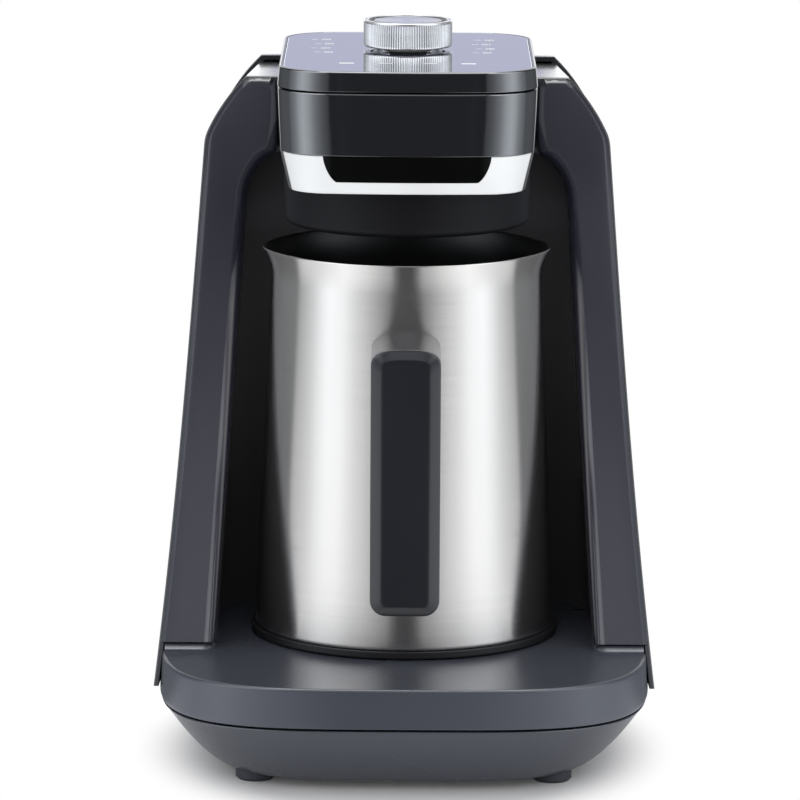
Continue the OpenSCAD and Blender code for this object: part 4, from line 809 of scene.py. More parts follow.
def arch_path(n_side=44, n_turn=40):
    """Right half of the arch, from the foot up to the middle of its top, with its normals:
    a side that flares downwards, a quarter circle of radius ARCH_R and a level top."""
    z = np.concatenate([np.linspace(DECK_Z, FOOT_Z, FOOT_ROWS, endpoint=False),
                        np.linspace(FOOT_Z, ARCH_SPRING_Z, n_side, endpoint=False)])
    side = np.stack([arch_x(z), z], 1)
    turn = arc(ARCH_HALF - ARCH_R, ARCH_SPRING_Z, ARCH_R, 0, 90, n_turn)
    x = np.linspace(ARCH_HALF - ARCH_R, 0, TOP_ROWS)[1:]
    top = np.stack([x, np.full(len(x), ARCH_SPRING_Z + ARCH_R)], 1)
    normal = np.vstack([np.tile([1.0, 0.0], (len(side), 1)), arc(0, 0, 1, 0, 90, n_turn),
                        np.tile([0.0, 1.0], (len(top), 1))])
    return np.vstack([side, turn, top]), normal, len(side), len(side) + len(turn)


def slot_x(z):
    """Half-width of the notch beside the head."""
    return SLOT_HALF - SLOT_TAPER * (SHOULDER_Z - z)


def fascia_shape(lip):
    """Slanted face from the cover's inside to the arch, a lip (a chamfer, then an arc of
    LIP_ARC of its size), and the bay."""
    path, normal, n_side, n_turn_end = arch_path()
    stop = n_side + int(np.argmax(path[n_side:, 0] < slot_x(path[n_side:, 1])))
    inner, inner_n = path[FOOT_ROWS:stop], normal[FOOT_ROWS:stop]
    n_side, stop = n_side - FOOT_ROWS, stop - FOOT_ROWS
    z = np.linspace(inner[-1, 1], SHOULDER_Z - FASCIA_IN, 14)[1:]
    slot = np.stack([slot_x(z), z], 1)
    edge = np.vstack([inner, slot])
    edge_n = np.vstack([inner_n, np.tile([1.0, 0.0], (len(slot), 1))])
    r = np.concatenate([np.full(stop, lip), np.linspace(lip, 1.0, len(slot) // 2),
                        np.full(len(slot) - len(slot) // 2, 1.0)])
    blend = np.clip((np.arange(len(edge)) - stop) / BLEND_ROWS + 1, 0, 1)[:, None]
    edge_n = edge_n * (1 - blend) + np.array([1.0, 0.0]) * blend
    edge_n /= np.linalg.norm(edge_n, axis=1)[:, None]
    outer_line = cover_half(FASCIA_IN, FOOT_Z, SHOULDER_Z, 60, 20, 30)
    top = np.array([[slot_x(SHOULDER_Z) + 0.6, outer_line[-1, 1]]])
    high = even(np.vstack([outer_line[outer_line[:, 1] >= ARCH_SPRING_Z], top]),
                len(edge) - n_side, closed=False)
    low_z = edge[:n_side, 1]
    outer = np.vstack([np.stack([side_x(low_z) - FASCIA_IN, low_z], 1), high])
    start = edge + edge_n * r[:, None]
    cols = []

    def column(p, depth):
        """One more column of points, at a depth behind the face."""
        cols.append(np.stack([p[:, 0], face_y(p[:, 1]) + FACE_INSET + depth, p[:, 1]], 1))

    inward = (start - outer) / np.linalg.norm(start - outer, axis=1)[:, None]
    for d, depth in ((0.0, FACE_SIDE), (0.0, EDGE_BEVEL), (EDGE_BEVEL, 0.0)):
        column(outer + inward * d, depth)
    first, last = outer + inward * EDGE_SUPPORT, start - inward * LIP_SUPPORT
    for k in (0.0, 0.3, 0.65, 1.0):
        column(first + (last - first) * k, 0.0)
    column(start, 0.0)
    for a in np.radians(np.linspace(LIP_CHAMFER, 90, 9)):
        drop = math.cos(math.radians(LIP_CHAMFER)) - math.cos(a)
        column(edge + edge_n * (LIP_ARC * r * (1 - math.sin(a)))[:, None],
               r * (LIP_DROP + LIP_ARC * drop))
    face = np.stack(cols, 1)
    shape = Shape()
    end = face[:, -1]
    slot_wall = end[stop - 1:]
    back = slot_wall + np.array([0, SLOT_DEPTH, 0])
    for side in (1, -1):
        flip = np.array([side, 1, 1])
        shape.grid((face * flip)[::side], wrap_cols=False)
        shape.grid((np.stack([slot_wall, back], 1) * flip)[::side], wrap_cols=False)
    # the bay: from the lip straight back to the round rear wall
    y0 = face_y(path[:, 1]) + FACE_INSET + lip
    y1 = np.maximum(bay_end_y(path[:, 0]), y0 + 0.5)
    steps = np.linspace(0, 1, 6)
    wall = np.stack([np.stack([path[:, 0], y0 + (y1 - y0) * k, path[:, 1]], 1) for k in steps], 1)
    shape.grid(wall, wrap_cols=False)
    shape.grid((wall * [-1, 1, 1])[::-1], wrap_cols=False)
    w = np.linspace(1, -1, 2 * TOP_ROWS - 1)
    rows = path[:n_turn_end]
    x = rows[:, :1] * w
    rear = np.stack([x, bay_end_y(x), np.repeat(rows[:, 1:], len(w), 1)], -1)
    shape.grid(rear, wrap_cols=False)
    return shape


def cover_shape(edge):
    """A strip of thickness COVER_T carried round the outline, its front edge rounded."""
    out, inn = (mirrored(cover_half(d, COVER_Z, SHOULDER_Z)) for d in (0.0, COVER_T))
    loop = [(0.0, None)] + quarter(edge)
    loop += [(COVER_T - drop, inset) for inset, drop in quarter(0.35)] + [(COVER_T, None)]
    cols = []
    for d, depth in loop:
        p = out + (inn - out) * (d / COVER_T)
        y = np.full(len(p), REAR_SEAM_Y) if depth is None else face_y(p[:, 1]) + depth
        x = drawn_in(p[:, 0]) if depth is None else p[:, 0]
        cols.append(np.stack([x, y, p[:, 1]], 1))
    return Shape().grid(np.stack(cols, 1), caps=(True, True))


def rear_outline(d, inset):
    """The covers' outline at the seam, shrunk about its foot by d at the sides and the top."""
    z0 = COVER_Z - 6 + min(inset, 3)
    p = mirrored(cover_half(0, z0, REAR_Z, 40, 12, 20))
    sx, sz = 1 - d / drawn_in(BODY_W / 2), 1 - d / (REAR_Z - z0)
    return np.stack([sx * drawn_in(p[:, 0]), z0 + sz * (p[:, 1] - z0)], 1)


def rear_rings(inset, steps):
    """Outlines that shrink as they near the back, with corners of REAR_ROUND all round."""
    rings = [upright(rear_outline(d + inset, inset), REAR_Y - drop - inset)
             for d, drop in quarter(REAR_ROUND, steps + 1)[::-1]]
    turn = [(inset, 0.0)] if inset else [(0.0, 0.45), (0.12, 0.12), (0.45, 0.0)]
    return rings + [upright(rear_outline(d, inset), REAR_SEAM_Y + y) for d, y in turn]


class COFFEE_OT_column(bpy.types.Operator):
    """Build the column's front, its outer cover and the rear cover with louvres"""
    bl_idname = "coffee.column"
    bl_label = "Column"

    def execute(self, context):
        f, sizes = finishes(), context.scene.coffee_body
        fascia = solid("fascia_skin", fascia_shape(sizes.lip / MM))
        merged(fascia)
        if fascia.data.polygons[0].normal.y > 0:
            fascia.data.flip_normals()
        wall = fascia.modifiers.new("wall", "SOLIDIFY")
        wall.thickness, wall.offset = FASCIA_WALL * MM, -1.0
        baked(fascia)
        lo, hi = node_box("pot_socket")
        carve(fascia, Shape().block((-SOCKET_HALF, BAY_REAR_Y - 8, lo[2] - GAP),
                                    (SOCKET_HALF, BAY_REAR_Y + 8, hi[2] + GAP)))
        place(fascia, "machine", f["slate"], "slate_plastic", ["front_fascia"], 30)
        # the bay's walls take the bay finish: painted shade inside the bay
        c = centres(fascia)
        tint(fascia, f["bay"], c[:, 1] > face_y(c[:, 2]) + FACE_INSET + sizes.lip / MM - 0.05)
        plastic = ("machine", f["cover"], "cover_plastic")
        notch = Shape().prism(head_plan(NOTCH_HALF, -NOTCH_GAP), 2, SHOULDER_Z - 4,
                              SHOULDER_Z + 2)
        z0, z1 = ARCH_SPRING_Z + ARCH_R, SHOULDER_Z + 5
        slot = Shape().prism([(-slot_x(z0), z0), (slot_x(z0), z0), (slot_x(z1), z1),
                              (-slot_x(z1), z1)], 1, FRONT_Y, HEAD_REAR_Y - 20)
        piece("cover_skin", cover_shape(sizes.cover_edge / MM), *plastic, ["outer_cover"], 30,
              [notch, slot])
        rear = Shape().grid(rear_rings(0, 14) + rear_rings(COVER_T, 14)[::-1], caps=(True, True))
        cutters = [Shape().block((-200, 0, 0), (200, 200, COVER_Z))]
        for x in (-LOUVRE_X, LOUVRE_X):
            for z in SHOULDER_Z - LOUVRE_DROP + LOUVRE_PITCH * np.arange(LOUVRES):
                cutters.append(Shape().block((x - LOUVRE_HALF, REAR_Y - 4, z),
                                             (x + LOUVRE_HALF, REAR_Y + 2, z + LOUVRE_HEIGHT)))
        for z in (COVER_Z + 22, SHOULDER_BASE_Z - 18):
            x = float(side_x(z)) - REAR_ROUND - COVER_T - REAR_SCREW_IN - GAP - SIDE_DRAFT
            cutters += [Shape().rod(1, (k * x, z), REAR_Y - 6, REAR_Y + 2, SCREW_WELL_R)
                        for k in (-1, 1)]
        lo, hi = node_box("cord_gland")
        cutters.append(Shape().rod(1, ((lo[0] + hi[0]) / 2, (lo[2] + hi[2]) / 2),
                                   REAR_Y - 4, REAR_Y + 2, GLAND_HOLE_R))
        piece("rear_skin", rear, *plastic, ["rear_cover"], 30, cutters)
        return {"FINISHED"}


# ---------- head ----------


def head_rings(levels, corner=lambda z: HEAD_CORNER):
    """Rings of (height, inset) down or up the head; corner gives the radius at a height."""
    return [stack(head_plan(float(head_half(z)), d, corner(z)), z) for z, d in levels]


def trim_corner(z):
    """The trim's corners tighten evenly from the head's at its top down to its foot."""
    rise = (z - HEAD_Z) / (TRIM_TOP_Z - HEAD_Z)
    return TRIM_FOOT_CORNER + (HEAD_CORNER - TRIM_FOOT_CORNER) * rise


WINDOW_DROP, WINDOW_POWER = 8.9, 1.5


def window_outline(top, foot, g=0.0, n=24):
    """The window's ends fall along |x|^p + |z|^p = 1 with p = WINDOW_POWER; g widens it."""
    t = np.linspace(0, np.pi / 2, n)
    x = foot / 2 + (top - foot) / 2 * np.cos(t) ** (2 / WINDOW_POWER) + g
    z = TRIM_TOP_Z - 0.15 - (WINDOW_DROP + g) * np.sin(t) ** (2 / WINDOW_POWER)
    half = np.vstack([[[top / 2 + g, TRIM_TOP_Z + 1]], np.stack([x, z], 1)])
    return mirrored(half[::-1])


MARK_RISE, RING_OUT, RING_IN = 0.02, 1.7, 1.15


def touch_marks():
    """Flat rings, dots and dashes printed on the glass, four on each side and four in front."""
    shape, z, top = Shape(), HEAD_TOP_Z, HEAD_TOP_Z + MARK_RISE
    for side in (-1, 1):
        for i, y in enumerate((29.0, 15.0, 1.5, -11.0)):
            x = side * (28.3 if i % 2 else 29.5)
            ring = [stack(arc(x, y, r, 0, 345, 24), h) for r, h in
                    ((RING_OUT, z), (RING_OUT, top), (RING_IN, top), (RING_IN, z))]
            shape.grid(ring, wrap_rows=True)
            shape.turned([(0.05, z), (0.5, z), (0.5, top), (0.05, top)], x, y, 20)
            shape.block((x - 5.2, y - 0.4, z), (x - 3.0, y + 0.4, top))
        for x, half, y0, y1 in ((21.4, 2.6, -46.0, -43.2), (8.0, 2.3, -45.2, -44.0)):
            shape.block((side * x - half, y0, z), (side * x + half, y1, top))
    return shape


PANEL_WALL, TRIM_WALL, WINDOW_WALL = 1.7, 1.6, 1.58
GLASS_IN, GLASS_EDGE, BUSH_HOLE_R = 1.42, 0.25, 8.65
SKIRT_R, SKIRT_LIP_R, SKIRT_ROUND = 44, 42, 3
EYE_X, EYE_HOLE_R = 14, 3.25


def head_piece(name, rings, finish, slot, node, angle, cutters=(), operation="DIFFERENCE", **grid):
    """Rings joined into a piece, cut, and placed on the machine."""
    piece(name, Shape().grid(rings, **grid), "machine", finish, slot, [node], angle, cutters,
          operation)


class COFFEE_OT_head(bpy.types.Operator):
    """Build the head: cap, glass, gloss panel, trim, blank window and skirt"""
    bl_idname = "coffee.head"
    bl_label = "Head"

    def execute(self, context):
        f, sizes = finishes(), context.scene.coffee_head
        closed = {"caps": (True, True)}
        cap = [(CAP_Z, 1.2), (CAP_Z, 0.25), (CAP_Z + 0.08, 0.08), (CAP_Z + 0.3, 0.0)]
        cap += [(HEAD_TOP_Z - b, a) for a, b in quarter(sizes.edge / MM, 7)]
        cap += [(HEAD_TOP_Z, 1.2), (HEAD_TOP_Z - 0.1, 1.3), (HEAD_TOP_Z - 2.6, 1.3)]
        head_piece("cap_skin", head_rings(cap), f["gloss"], "gloss_black", "head_cap", 40, **closed)

        seam, trim_rear = CAP_Z - 0.45, node_box("trim_band")[1][1]
        shell = [(HEAD_Z, PANEL_WALL), (TRIM_TOP_Z, PANEL_WALL)]
        shell += [(TRIM_TOP_Z + h, d) for h, d in ((0, 0.35), (0.12, 0.12), (0.35, 0.0), (6, 0.0),
                                                   (13, 0.0))]
        shell += [(seam - b, a + 0.15) for a, b in quarter(sizes.panel_edge / MM)]
        shell += [(seam, 2.0)]
        under = Shape().block((-200, trim_rear + 0.1, 0), (200, 200, 213.7))
        head_piece("panel_skin", head_rings(shell), f["gloss"], "gloss_black", "head_shell", 40,
                   [under], **closed)

        low = HEAD_TOP_Z - GLASS_EDGE
        glass = [(HEAD_TOP_Z - 2.4, GLASS_IN), (low, GLASS_IN)]
        glass += [(low + GLASS_EDGE * math.sin(t), GLASS_IN + 0.3 * (1 - math.cos(t)))
                  for t in np.radians([30, 60, 90])]
        head_piece("glass_skin", head_rings(glass), f["glass"], "dark_glass", "glass_panel", 40,
                   [Shape().rod(2, (0, KNOB_Y), 200, 300, BUSH_HOLE_R, 96)], **closed)
        piece("touch_marks", touch_marks(), "machine", f["print"], "dark_glass")

        zs = np.linspace(HEAD_Z, TRIM_TOP_Z - 0.05, 14)
        outer = [(HEAD_Z, 0.55), (HEAD_Z + 0.15, 0.2), (HEAD_Z + 0.5, 0.0)]
        outer += [(z, 0.0) for z in zs[1:-1]]
        outer += [(zs[-1] - 0.25, 0.02), (zs[-1], 0.25)]
        inner = [(z, TRIM_WALL) for z in zs[::-3]] + [(HEAD_Z, TRIM_WALL)]
        sides = [width / MM for width in (sizes.window_top, sizes.window_foot)]
        hole, fit = (Shape().prism(window_outline(*sides, g), 1, FRONT_Y, HEAD_Y + 12)
                     for g in (0.0, -0.06))
        rear = Shape().block((-200, trim_rear, 0), (200, 200, 300))
        head_piece("trim_skin", head_rings(outer + inner, trim_corner), f["bright"],
                   "bright_trim", "trim_band", 35, [hole, rear], wrap_rows=True)
        insert = [(z, 0.25) for z in (HEAD_Z, TRIM_TOP_Z - 0.1)]
        insert += [(z, WINDOW_WALL) for z in (TRIM_TOP_Z - 0.1, HEAD_Z)]
        head_piece("window_skin", head_rings(insert, trim_corner), f["window"], "gloss_black",
                   "window_insert", 35, [fit], "INTERSECT", wrap_rows=True)

        foot, lip = SKIRT_Z + 2, HEAD_Z - 2.1
        profile = [(10, foot), (41.4, foot), (SKIRT_LIP_R, foot + 1), (SKIRT_LIP_R, lip),
                   (34, lip), (34, HEAD_Z - 0.02), (SKIRT_R - 0.2, HEAD_Z - 0.02),
                   (SKIRT_R, HEAD_Z - 0.25)]
        profile += [(SKIRT_R - inset, SKIRT_Z + drop) for inset, drop in quarter(SKIRT_ROUND, 10)]
        eyes = [Shape().rod(2, (x, POT_Y - 8), 180, 195, EYE_HOLE_R) for x in (-EYE_X, EYE_X)]
        piece("skirt_skin", Shape().turned(profile + [(10, SKIRT_Z)], 0, POT_Y, 192), "machine",
              f["skirt"], "black_plastic", ["sensor_skirt"], 35, eyes)
        return {"FINISHED"}


# ---------- knob ----------


RIM_IN, GROOVE_IN, BUTTON_BORE_R, SHAFT_R = 1.6, 1.95, 12.5, 3.7
STEM_R, STEM_FOOT_Z, BORE_DEPTH = 6.7, 235.0, 6.9


def knob_shape(ribs, depth):
    """Radius = R - depth * groove(angle) * share(height); grooves are rounded and even."""
    n = ribs * 8
    a = np.linspace(0, 2 * np.pi, n, endpoint=False)
    groove = 0.5 - 0.5 * np.cos(a * ribs)
    rows = [(KNOB_R - d, KNOB_Z + h, share) for d, h, share in
            ((2.5, 1.2, 0), (2.5, 0, 0), (0.5, 0, 0), (0.15, 0.12, 0), (0, 0.4, 0), (0, 0.7, 0.7),
             (0, 1.0, 1))]
    top = KNOB_TOP_Z
    rows += [(KNOB_R, top - h, share) for h, share in ((5, 1), (1.1, 1), (0.9, 0.6), (0.7, 0))]
    rows += [(KNOB_R - inset, top - drop, 0) for inset, drop in quarter(0.4)]
    rows += [(KNOB_R - d, top - h, 0) for d, h in
             ((1.5, 0), (RIM_IN, 0.1), (RIM_IN, 0.5), (GROOVE_IN, 0.5), (GROOVE_IN, 0.2),
              (2.05, 0.1))]
    rows += [(BUTTON_BORE_R + 0.15, top - 0.1, 0), (BUTTON_BORE_R, top - 0.25, 0),
             (BUTTON_BORE_R, top - BORE_DEPTH, 0), (SHAFT_R, top - BORE_DEPTH, 0),
             (SHAFT_R, STEM_FOOT_Z, 0), (STEM_R, STEM_FOOT_Z, 0), (STEM_R, KNOB_Z + 1.2, 0)]
    r, z, share = np.array(rows, float).T[:, :, None]
    r = r - depth * groove * share
    g = np.stack([r * np.cos(a), KNOB_Y + r * np.sin(a), np.repeat(z, n, 1)], -1)
    return Shape().grid(g, wrap_rows=True)


def turned_uv(obj, cx, cy):
    """U is the angle about an upright axis in turns; V is the radius plus the height."""
    m = obj.data
    co = np.zeros(len(m.vertices) * 3)
    m.vertices.foreach_get("co", co)
    co = co.reshape(-1, 3)
    idx = np.zeros(len(m.loops), np.int32)
    m.loops.foreach_get("vertex_index", idx)
    x, y = co[:, 0] - cx * MM, co[:, 1] - cy * MM
    u = (np.arctan2(y, x) / (2 * np.pi))[idx] % 1.0
    v = (np.hypot(x, y) + co[:, 2])[idx]
    start = np.zeros(len(m.polygons), np.int32)
    total = np.zeros(len(m.polygons), np.int32)
    m.polygons.foreach_get("loop_start", start)
    m.polygons.foreach_get("loop_total", total)
    face = np.repeat(np.arange(len(start)), total)
    first = u[start][face]
    u = np.where(u - first > 0.5, u - 1, np.where(first - u > 0.5, u + 1, u))
    layer = m.uv_layers.get("UVMap") or m.uv_layers.new(name="UVMap")
    layer.data.foreach_set("uv", np.stack([u, v], 1).ravel())


class COFFEE_OT_knob(bpy.types.Operator):
    """Build the ribbed knob and the start button in its middle"""
    bl_idname = "coffee.knob"
    bl_label = "Knob"

    def execute(self, context):
        f, sizes = finishes(), context.scene.coffee_knob
        ring = piece("knob_skin", knob_shape(sizes.ribs, sizes.rib_depth / MM), "knob",
                     f["knob"], "knob_metal", ["knob_ring"], 50)
        c = centres(ring)
        out = np.hypot(c[:, 0], c[:, 1] - KNOB_Y)
        top = c[:, 2] > KNOB_TOP_Z - 0.65
        # the narrow groove on the knob's top takes black plastic: painted shade in the groove
        tint(ring, f["foot"], top & (np.abs(KNOB_R - (RIM_IN + GROOVE_IN) / 2 - out) < 0.2))
        turned_uv(ring, 0, KNOB_Y)
        disc = brushed("spun button", (0.62, 0.63, 0.67), 0.2, 0.75, (30.0, 4000.0, 1.0), 0.0)
        tint(ring, disc, top & (out < KNOB_R - GROOVE_IN - 0.03))
        b = sizes.button / 2 / MM
        lo, hi = node_box("start_button")
        top = hi[2]
        profile = [(0.3, lo[2]), (3.4, lo[2]), (3.4, top - 2.6), (b, top - 2.6), (b, top - 0.3)]
        profile += [(b - 0.3 * (1 - math.cos(t)), top - 0.3 + 0.3 * math.sin(t))
                    for t in np.radians([30, 60, 90])]
        profile += [(b * 0.8, top), (b * 0.5, top), (b * 0.2, top), (0.02, top)]
        turned_uv(piece("button_skin", Shape().turned(profile, 0, KNOB_Y, 96), "button", disc,
                        "button_metal", ["start_button"], 40), 0, KNOB_Y)
        return {"FINISHED"}


# ---------- pot ----------


POT_FOOT_R, POT_RIM_R = 54.3, 48.2
LIP_RISE, LIP_POWER = 11, 14  # height of the flare, and how narrow the pouring lips are


def pot_radius(z, t, flare, lips):
    """A slow cone; near the rim it flares by flare, and by lips more where |cos t| is near 1."""
    v = (z - STEEL_Z) / (RIM_Z - STEEL_Z)
    body = POT_FOOT_R + (POT_RIM_R - POT_FOOT_R) * (1.12 * v - 0.12 * v * v)
    f = np.clip((z - RIM_Z + LIP_RISE) / LIP_RISE, 0, None)
    return body + f ** 2 * (flare + lips * np.abs(np.cos(t)) ** LIP_POWER)


def pot_rings(levels, flare, lips, n=256):
    """Rings of (height, inset) up or down the pot's wall."""
    t = np.linspace(0, 2 * np.pi, n, endpoint=False)
    rings = []
    for z, d in levels:
        r = pot_radius(z, t, flare, lips) - d
        rings.append(np.stack([r * np.cos(t), POT_Y + r * np.sin(t), np.full(n, z)], 1))
    return rings


COVER_HALF, COVER_R, COVER_RISE, COVER_POWER = 12.1, 5.6, 6.4, 2.7
ROOT_RUN = 10  # radius of the hollow between the grip's back and its root


def grip_half(z):
    """Half-width of the handle: round corners below, half a superellipse above."""
    low = COVER_R - np.clip(HANDLE_Z0 + COVER_R - z, 0, COVER_R)
    high = np.clip((z - HANDLE_Z1 + COVER_RISE) / COVER_RISE, 0, 1)
    half = COVER_HALF - COVER_R + np.sqrt(COVER_R ** 2 - (COVER_R - low) ** 2)
    return half * (1 - high ** COVER_POWER) ** (1 / COVER_POWER)


def cover_plan(d):
    """Outline of the handle's cover, inset by d on every side: round corners below, half a
    superellipse above."""
    half, r, rise = COVER_HALF - d, max(COVER_R - d, 1.0), max(COVER_RISE - d, 1.5)
    t = np.radians(np.linspace(0, 90, 40))
    top = np.stack([half * spow(np.cos(t), 2 / COVER_POWER),
                    HANDLE_Z1 - d - rise + rise * spow(np.sin(t), 2 / COVER_POWER)], 1)
    right = np.vstack([arc(half - r, HANDLE_Z0 + d + r, r, -90, 0, 24), top])
    left = right[::-1] * [-1, 1]
    return even(np.vstack([right, left[1:-1]]), 160)


def grip_section(w, y0, y1, r, n=12):
    """A level slice of the grip: square in front, round behind with radius r."""
    r = min(r, w - 0.2)
    return np.vstack([[[-w + 0.4, y0], [w - 0.4, y0], [w, y0 + 0.4]],
                      arc(w - r, y1 - r, r, 0, 90, n), arc(-w + r, y1 - r, r, 90, 180, n),
                      [[-w, y0 + 0.4]]])


def grip_shape():
    """Level slices from the foot up; the back runs out along a quarter circle to the pot."""
    y0, root_z = HANDLE_FRONT_Y + 2.6, HANDLE_Z1 - 17
    pot_y = POT_Y - float(pot_radius(HANDLE_Z1 - 8.5, 0.0, 0.0, 0.0)) + 0.35
    t = np.radians(np.linspace(0, 90, 10))
    z = np.concatenate([HANDLE_Z0 + COVER_R * (1 - np.cos(t)),
                        np.linspace(HANDLE_Z0 + COVER_R + 2, root_z - 11, 14),
                        root_z - ROOT_RUN * (1 - np.sin(t))])
    rings = []
    for zz in z:
        w = float(grip_half(zz))
        s = np.clip((zz - root_z + ROOT_RUN) / ROOT_RUN, 0, 1)
        back = GRIP_REAR_Y + ROOT_RUN * (1 - math.sqrt(1 - s * s))
        back -= 3 * max(0, 1 - (zz - HANDLE_Z0) / 4) ** 2
        rings.append(stack(grip_section(w, y0, back, 3.6 * (1 - s) + 0.8), zz))
    last = len(rings)
    top = HANDLE_Z1 - COVER_RISE + (COVER_RISE - 0.02) * np.sin(np.radians(np.linspace(0, 90, 16)))
    for zz in np.concatenate([[root_z, root_z + 0.5, root_z + 5], top]):
        rings.append(stack(grip_section(float(grip_half(zz)), y0, pot_y, 0.4), zz))
    g = np.array(rings)
    # the root's end follows the round wall of the pot
    part = g[last:]
    end = part[:, :, 1] > pot_y - 1.0
    wall = POT_Y - np.sqrt((POT_Y - pot_y) ** 2 - np.clip(part[:, :, 0], -20, 20) ** 2)
    part[:, :, 1] = np.where(end, wall - (pot_y - part[:, :, 1]), part[:, :, 1])
    return Shape().grid(g, caps=(True, True))


class COFFEE_OT_pot(bpy.types.Operator):
    """Build the steel pot with its foot and lips"""
    bl_idname = "coffee.pot"
    bl_label = "Pot"

    def execute(self, context):
        f, s = finishes(), context.scene.coffee_pot
        w, fl, lp = s.wall / MM, s.flare / MM, s.lips / MM
        a = np.radians(np.linspace(0, 90, 8))
        cavity = [(POT_FLOOR_Z - 1.2, w), (STEEL_Z + 2, w), (STEEL_Z, w)]
        low = [(STEEL_Z + 1.4 * (1 - math.sin(t)), 0.9 * (1 - math.cos(t))) for t in a[::-1]]
        wall = [(z, 0.0) for z in np.linspace(STEEL_Z + 2.4, RIM_Z - LIP_RISE, 40)]
        mouth = [(z, 0.0) for z in np.linspace(RIM_Z - 10.2, RIM_Z - w / 2, 16)]
        bead = [(RIM_Z - w / 2 + w / 2 * math.sin(t), w / 2 * (1 - math.cos(t)))
                for t in np.radians(np.linspace(0, 180, 9))][1:]
        inner = [(z, w) for z, _ in mouth[::-1][1:]] + [(z, w) for z, _ in wall[::-1] if z > 62]
        floor = [(POT_FLOOR_Z + drop, w + inset) for inset, drop in quarter(4, 8)]
        rings = pot_rings(cavity + low + wall + mouth + bead + inner + floor, fl, lp)
        for share in (0.6, 0.5, 0.5):
            rings.append((rings[-1] - [0, POT_Y, 0]) * [share, share, 1] + [0, POT_Y, 0])
        pot = piece("pot_skin", Shape().grid(rings, caps=(True, True)), "pot", f["steel"],
                    "pot_steel", ["pot_body"], 45)
        turned_uv(pot, 0, POT_Y)
        # the pot's inside takes the dark steel: painted shade inside the pot
        c = centres(pot)
        out = np.hypot(c[:, 0], c[:, 1] - POT_Y)
        wide = pot_radius(c[:, 2], np.arctan2(c[:, 1] - POT_Y, c[:, 0]), fl, lp)
        tint(pot, f["hollow"], (out < wide - w * 0.8) & (c[:, 2] > POT_FLOOR_Z - 1))
        r, z0 = POT_FOOT_R, DECK_Z + 0.3
        profile = [(1, z0)] + [(r + 0.2 + 0.8 * math.sin(t), z0 + 0.8 - 0.8 * math.cos(t))
                               for t in a]
        profile += [(r + 1.0, STEEL_Z - 0.3), (r + 0.8, STEEL_Z - 0.05), (r - 2.2, STEEL_Z - 0.05),
                    (r - 2.2, STEEL_Z + 2.8), (r - 4.5, STEEL_Z + 2.8), (r - 4.5, z0 + 2),
                    (1, z0 + 2)]
        piece("pot_foot_skin", Shape().turned(profile, 0, POT_Y, 192), "pot", f["foot"],
              "black_plastic", ["pot_foot"], 35)
        return {"FINISHED"}


class COFFEE_OT_handle(bpy.types.Operator):
    """Build the grip and the cover plate on its front"""
    bl_idname = "coffee.handle"
    bl_label = "Handle"

    def execute(self, context):
        f, s = finishes(), context.scene.coffee_pot
        piece("grip_skin", grip_shape(), "pot", f["grip"], "handle_plastic", ["handle_grip"], 40)
        c = s.chamfer / MM
        rings = []
        for d, y in ((0.15, 2.6), (0.0, 2.45), (0.0, 1.75), (0.08, 1.5), (0.25, 1.32),
                     (0.6, 1.18), (c * 0.5, 0.72), (c * 0.85, 0.3), (c, 0.12), (c + 0.4, 0.03),
                     (c + 1.2, 0.0), (c + 3.4, 0.0)):
            rings.append(upright(cover_plan(d), HANDLE_FRONT_Y + y))
        piece("handle_cover_skin", Shape().grid(rings, caps=(True, True)), "pot", f["face"],
              "handle_face", ["handle_cover"], 35)
        return {"FINISHED"}


# ---------- stage ----------


WALL_LEVELS = ((0, 0.03), (11, 0.03), (14, 0.11), (27, 0.22), (40, 0.42), (53, 0.77),
               (65, 0.95), (74, 0.78), (82, 0.52), (90, 0.37), (98, 0.27), (102, 0.18),
               (122, 0.16), (150, 0.07), (180, 0.05))  # degrees from the front, brightness
HIGH_LEVELS = ((0, 0.02), (15, 0.03), (24, 0.60), (36, 1.00), (70, 1.00), (98, 0.40),
               (103, 0.05), (180, 0.03))
APRON_LEVELS = ((0, 0.06), (4.5, 0.06), (6, 0.10), (10, 0.25), (12, 0.36), (15, 0.40),
                (20, 0.46), (30, 0.64), (42, 0.80), (52, 0.86), (62, 0.74), (76, 0.62),
                (90, 0.58), (98, 0.52), (103, 0.12), (180, 0.03))
EVEN_LEVELS = ((0, 1.0), (180, 1.0))
RING_Y, RING_HALF_TURN = -60, 154  # centre of the round wall, and degrees to each side


def lit_card(name, shape, levels, rgb, strength):
    """A card that only reflections see; its light changes with the angle round the object."""
    card = solid(name, shape)
    mat = bpy.data.materials.new(name)
    mat.use_nodes = True
    tree = mat.node_tree
    tree.nodes.clear()
    spot = own_place(tree)
    angle = sums(tree, "ARCTAN2", sums(tree, "ABSOLUTE", spot["X"]),
                 sums(tree, "MULTIPLY", spot["Y"], -1.0))
    ramp = add(tree, "ValToRGB", {"Fac": sums(tree, "DIVIDE", angle, math.pi)})
    marks = ramp.color_ramp.elements
    while len(marks) < len(levels):
        marks.new(0.5)
    for mark, (degrees, level) in zip(marks, levels):
        mark.position = degrees / 180.0
        mark.color = (*(level * part for part in rgb), 1.0)
    glow = add(tree, "Emission", {"Strength": strength, "Color": ramp.outputs["Color"]})
    add(tree, "OutputMaterial", {"Surface": glow.outputs["Emission"]})
    card.data.materials.append(mat)
    card.visible_camera = card.visible_shadow = card.visible_diffuse = False


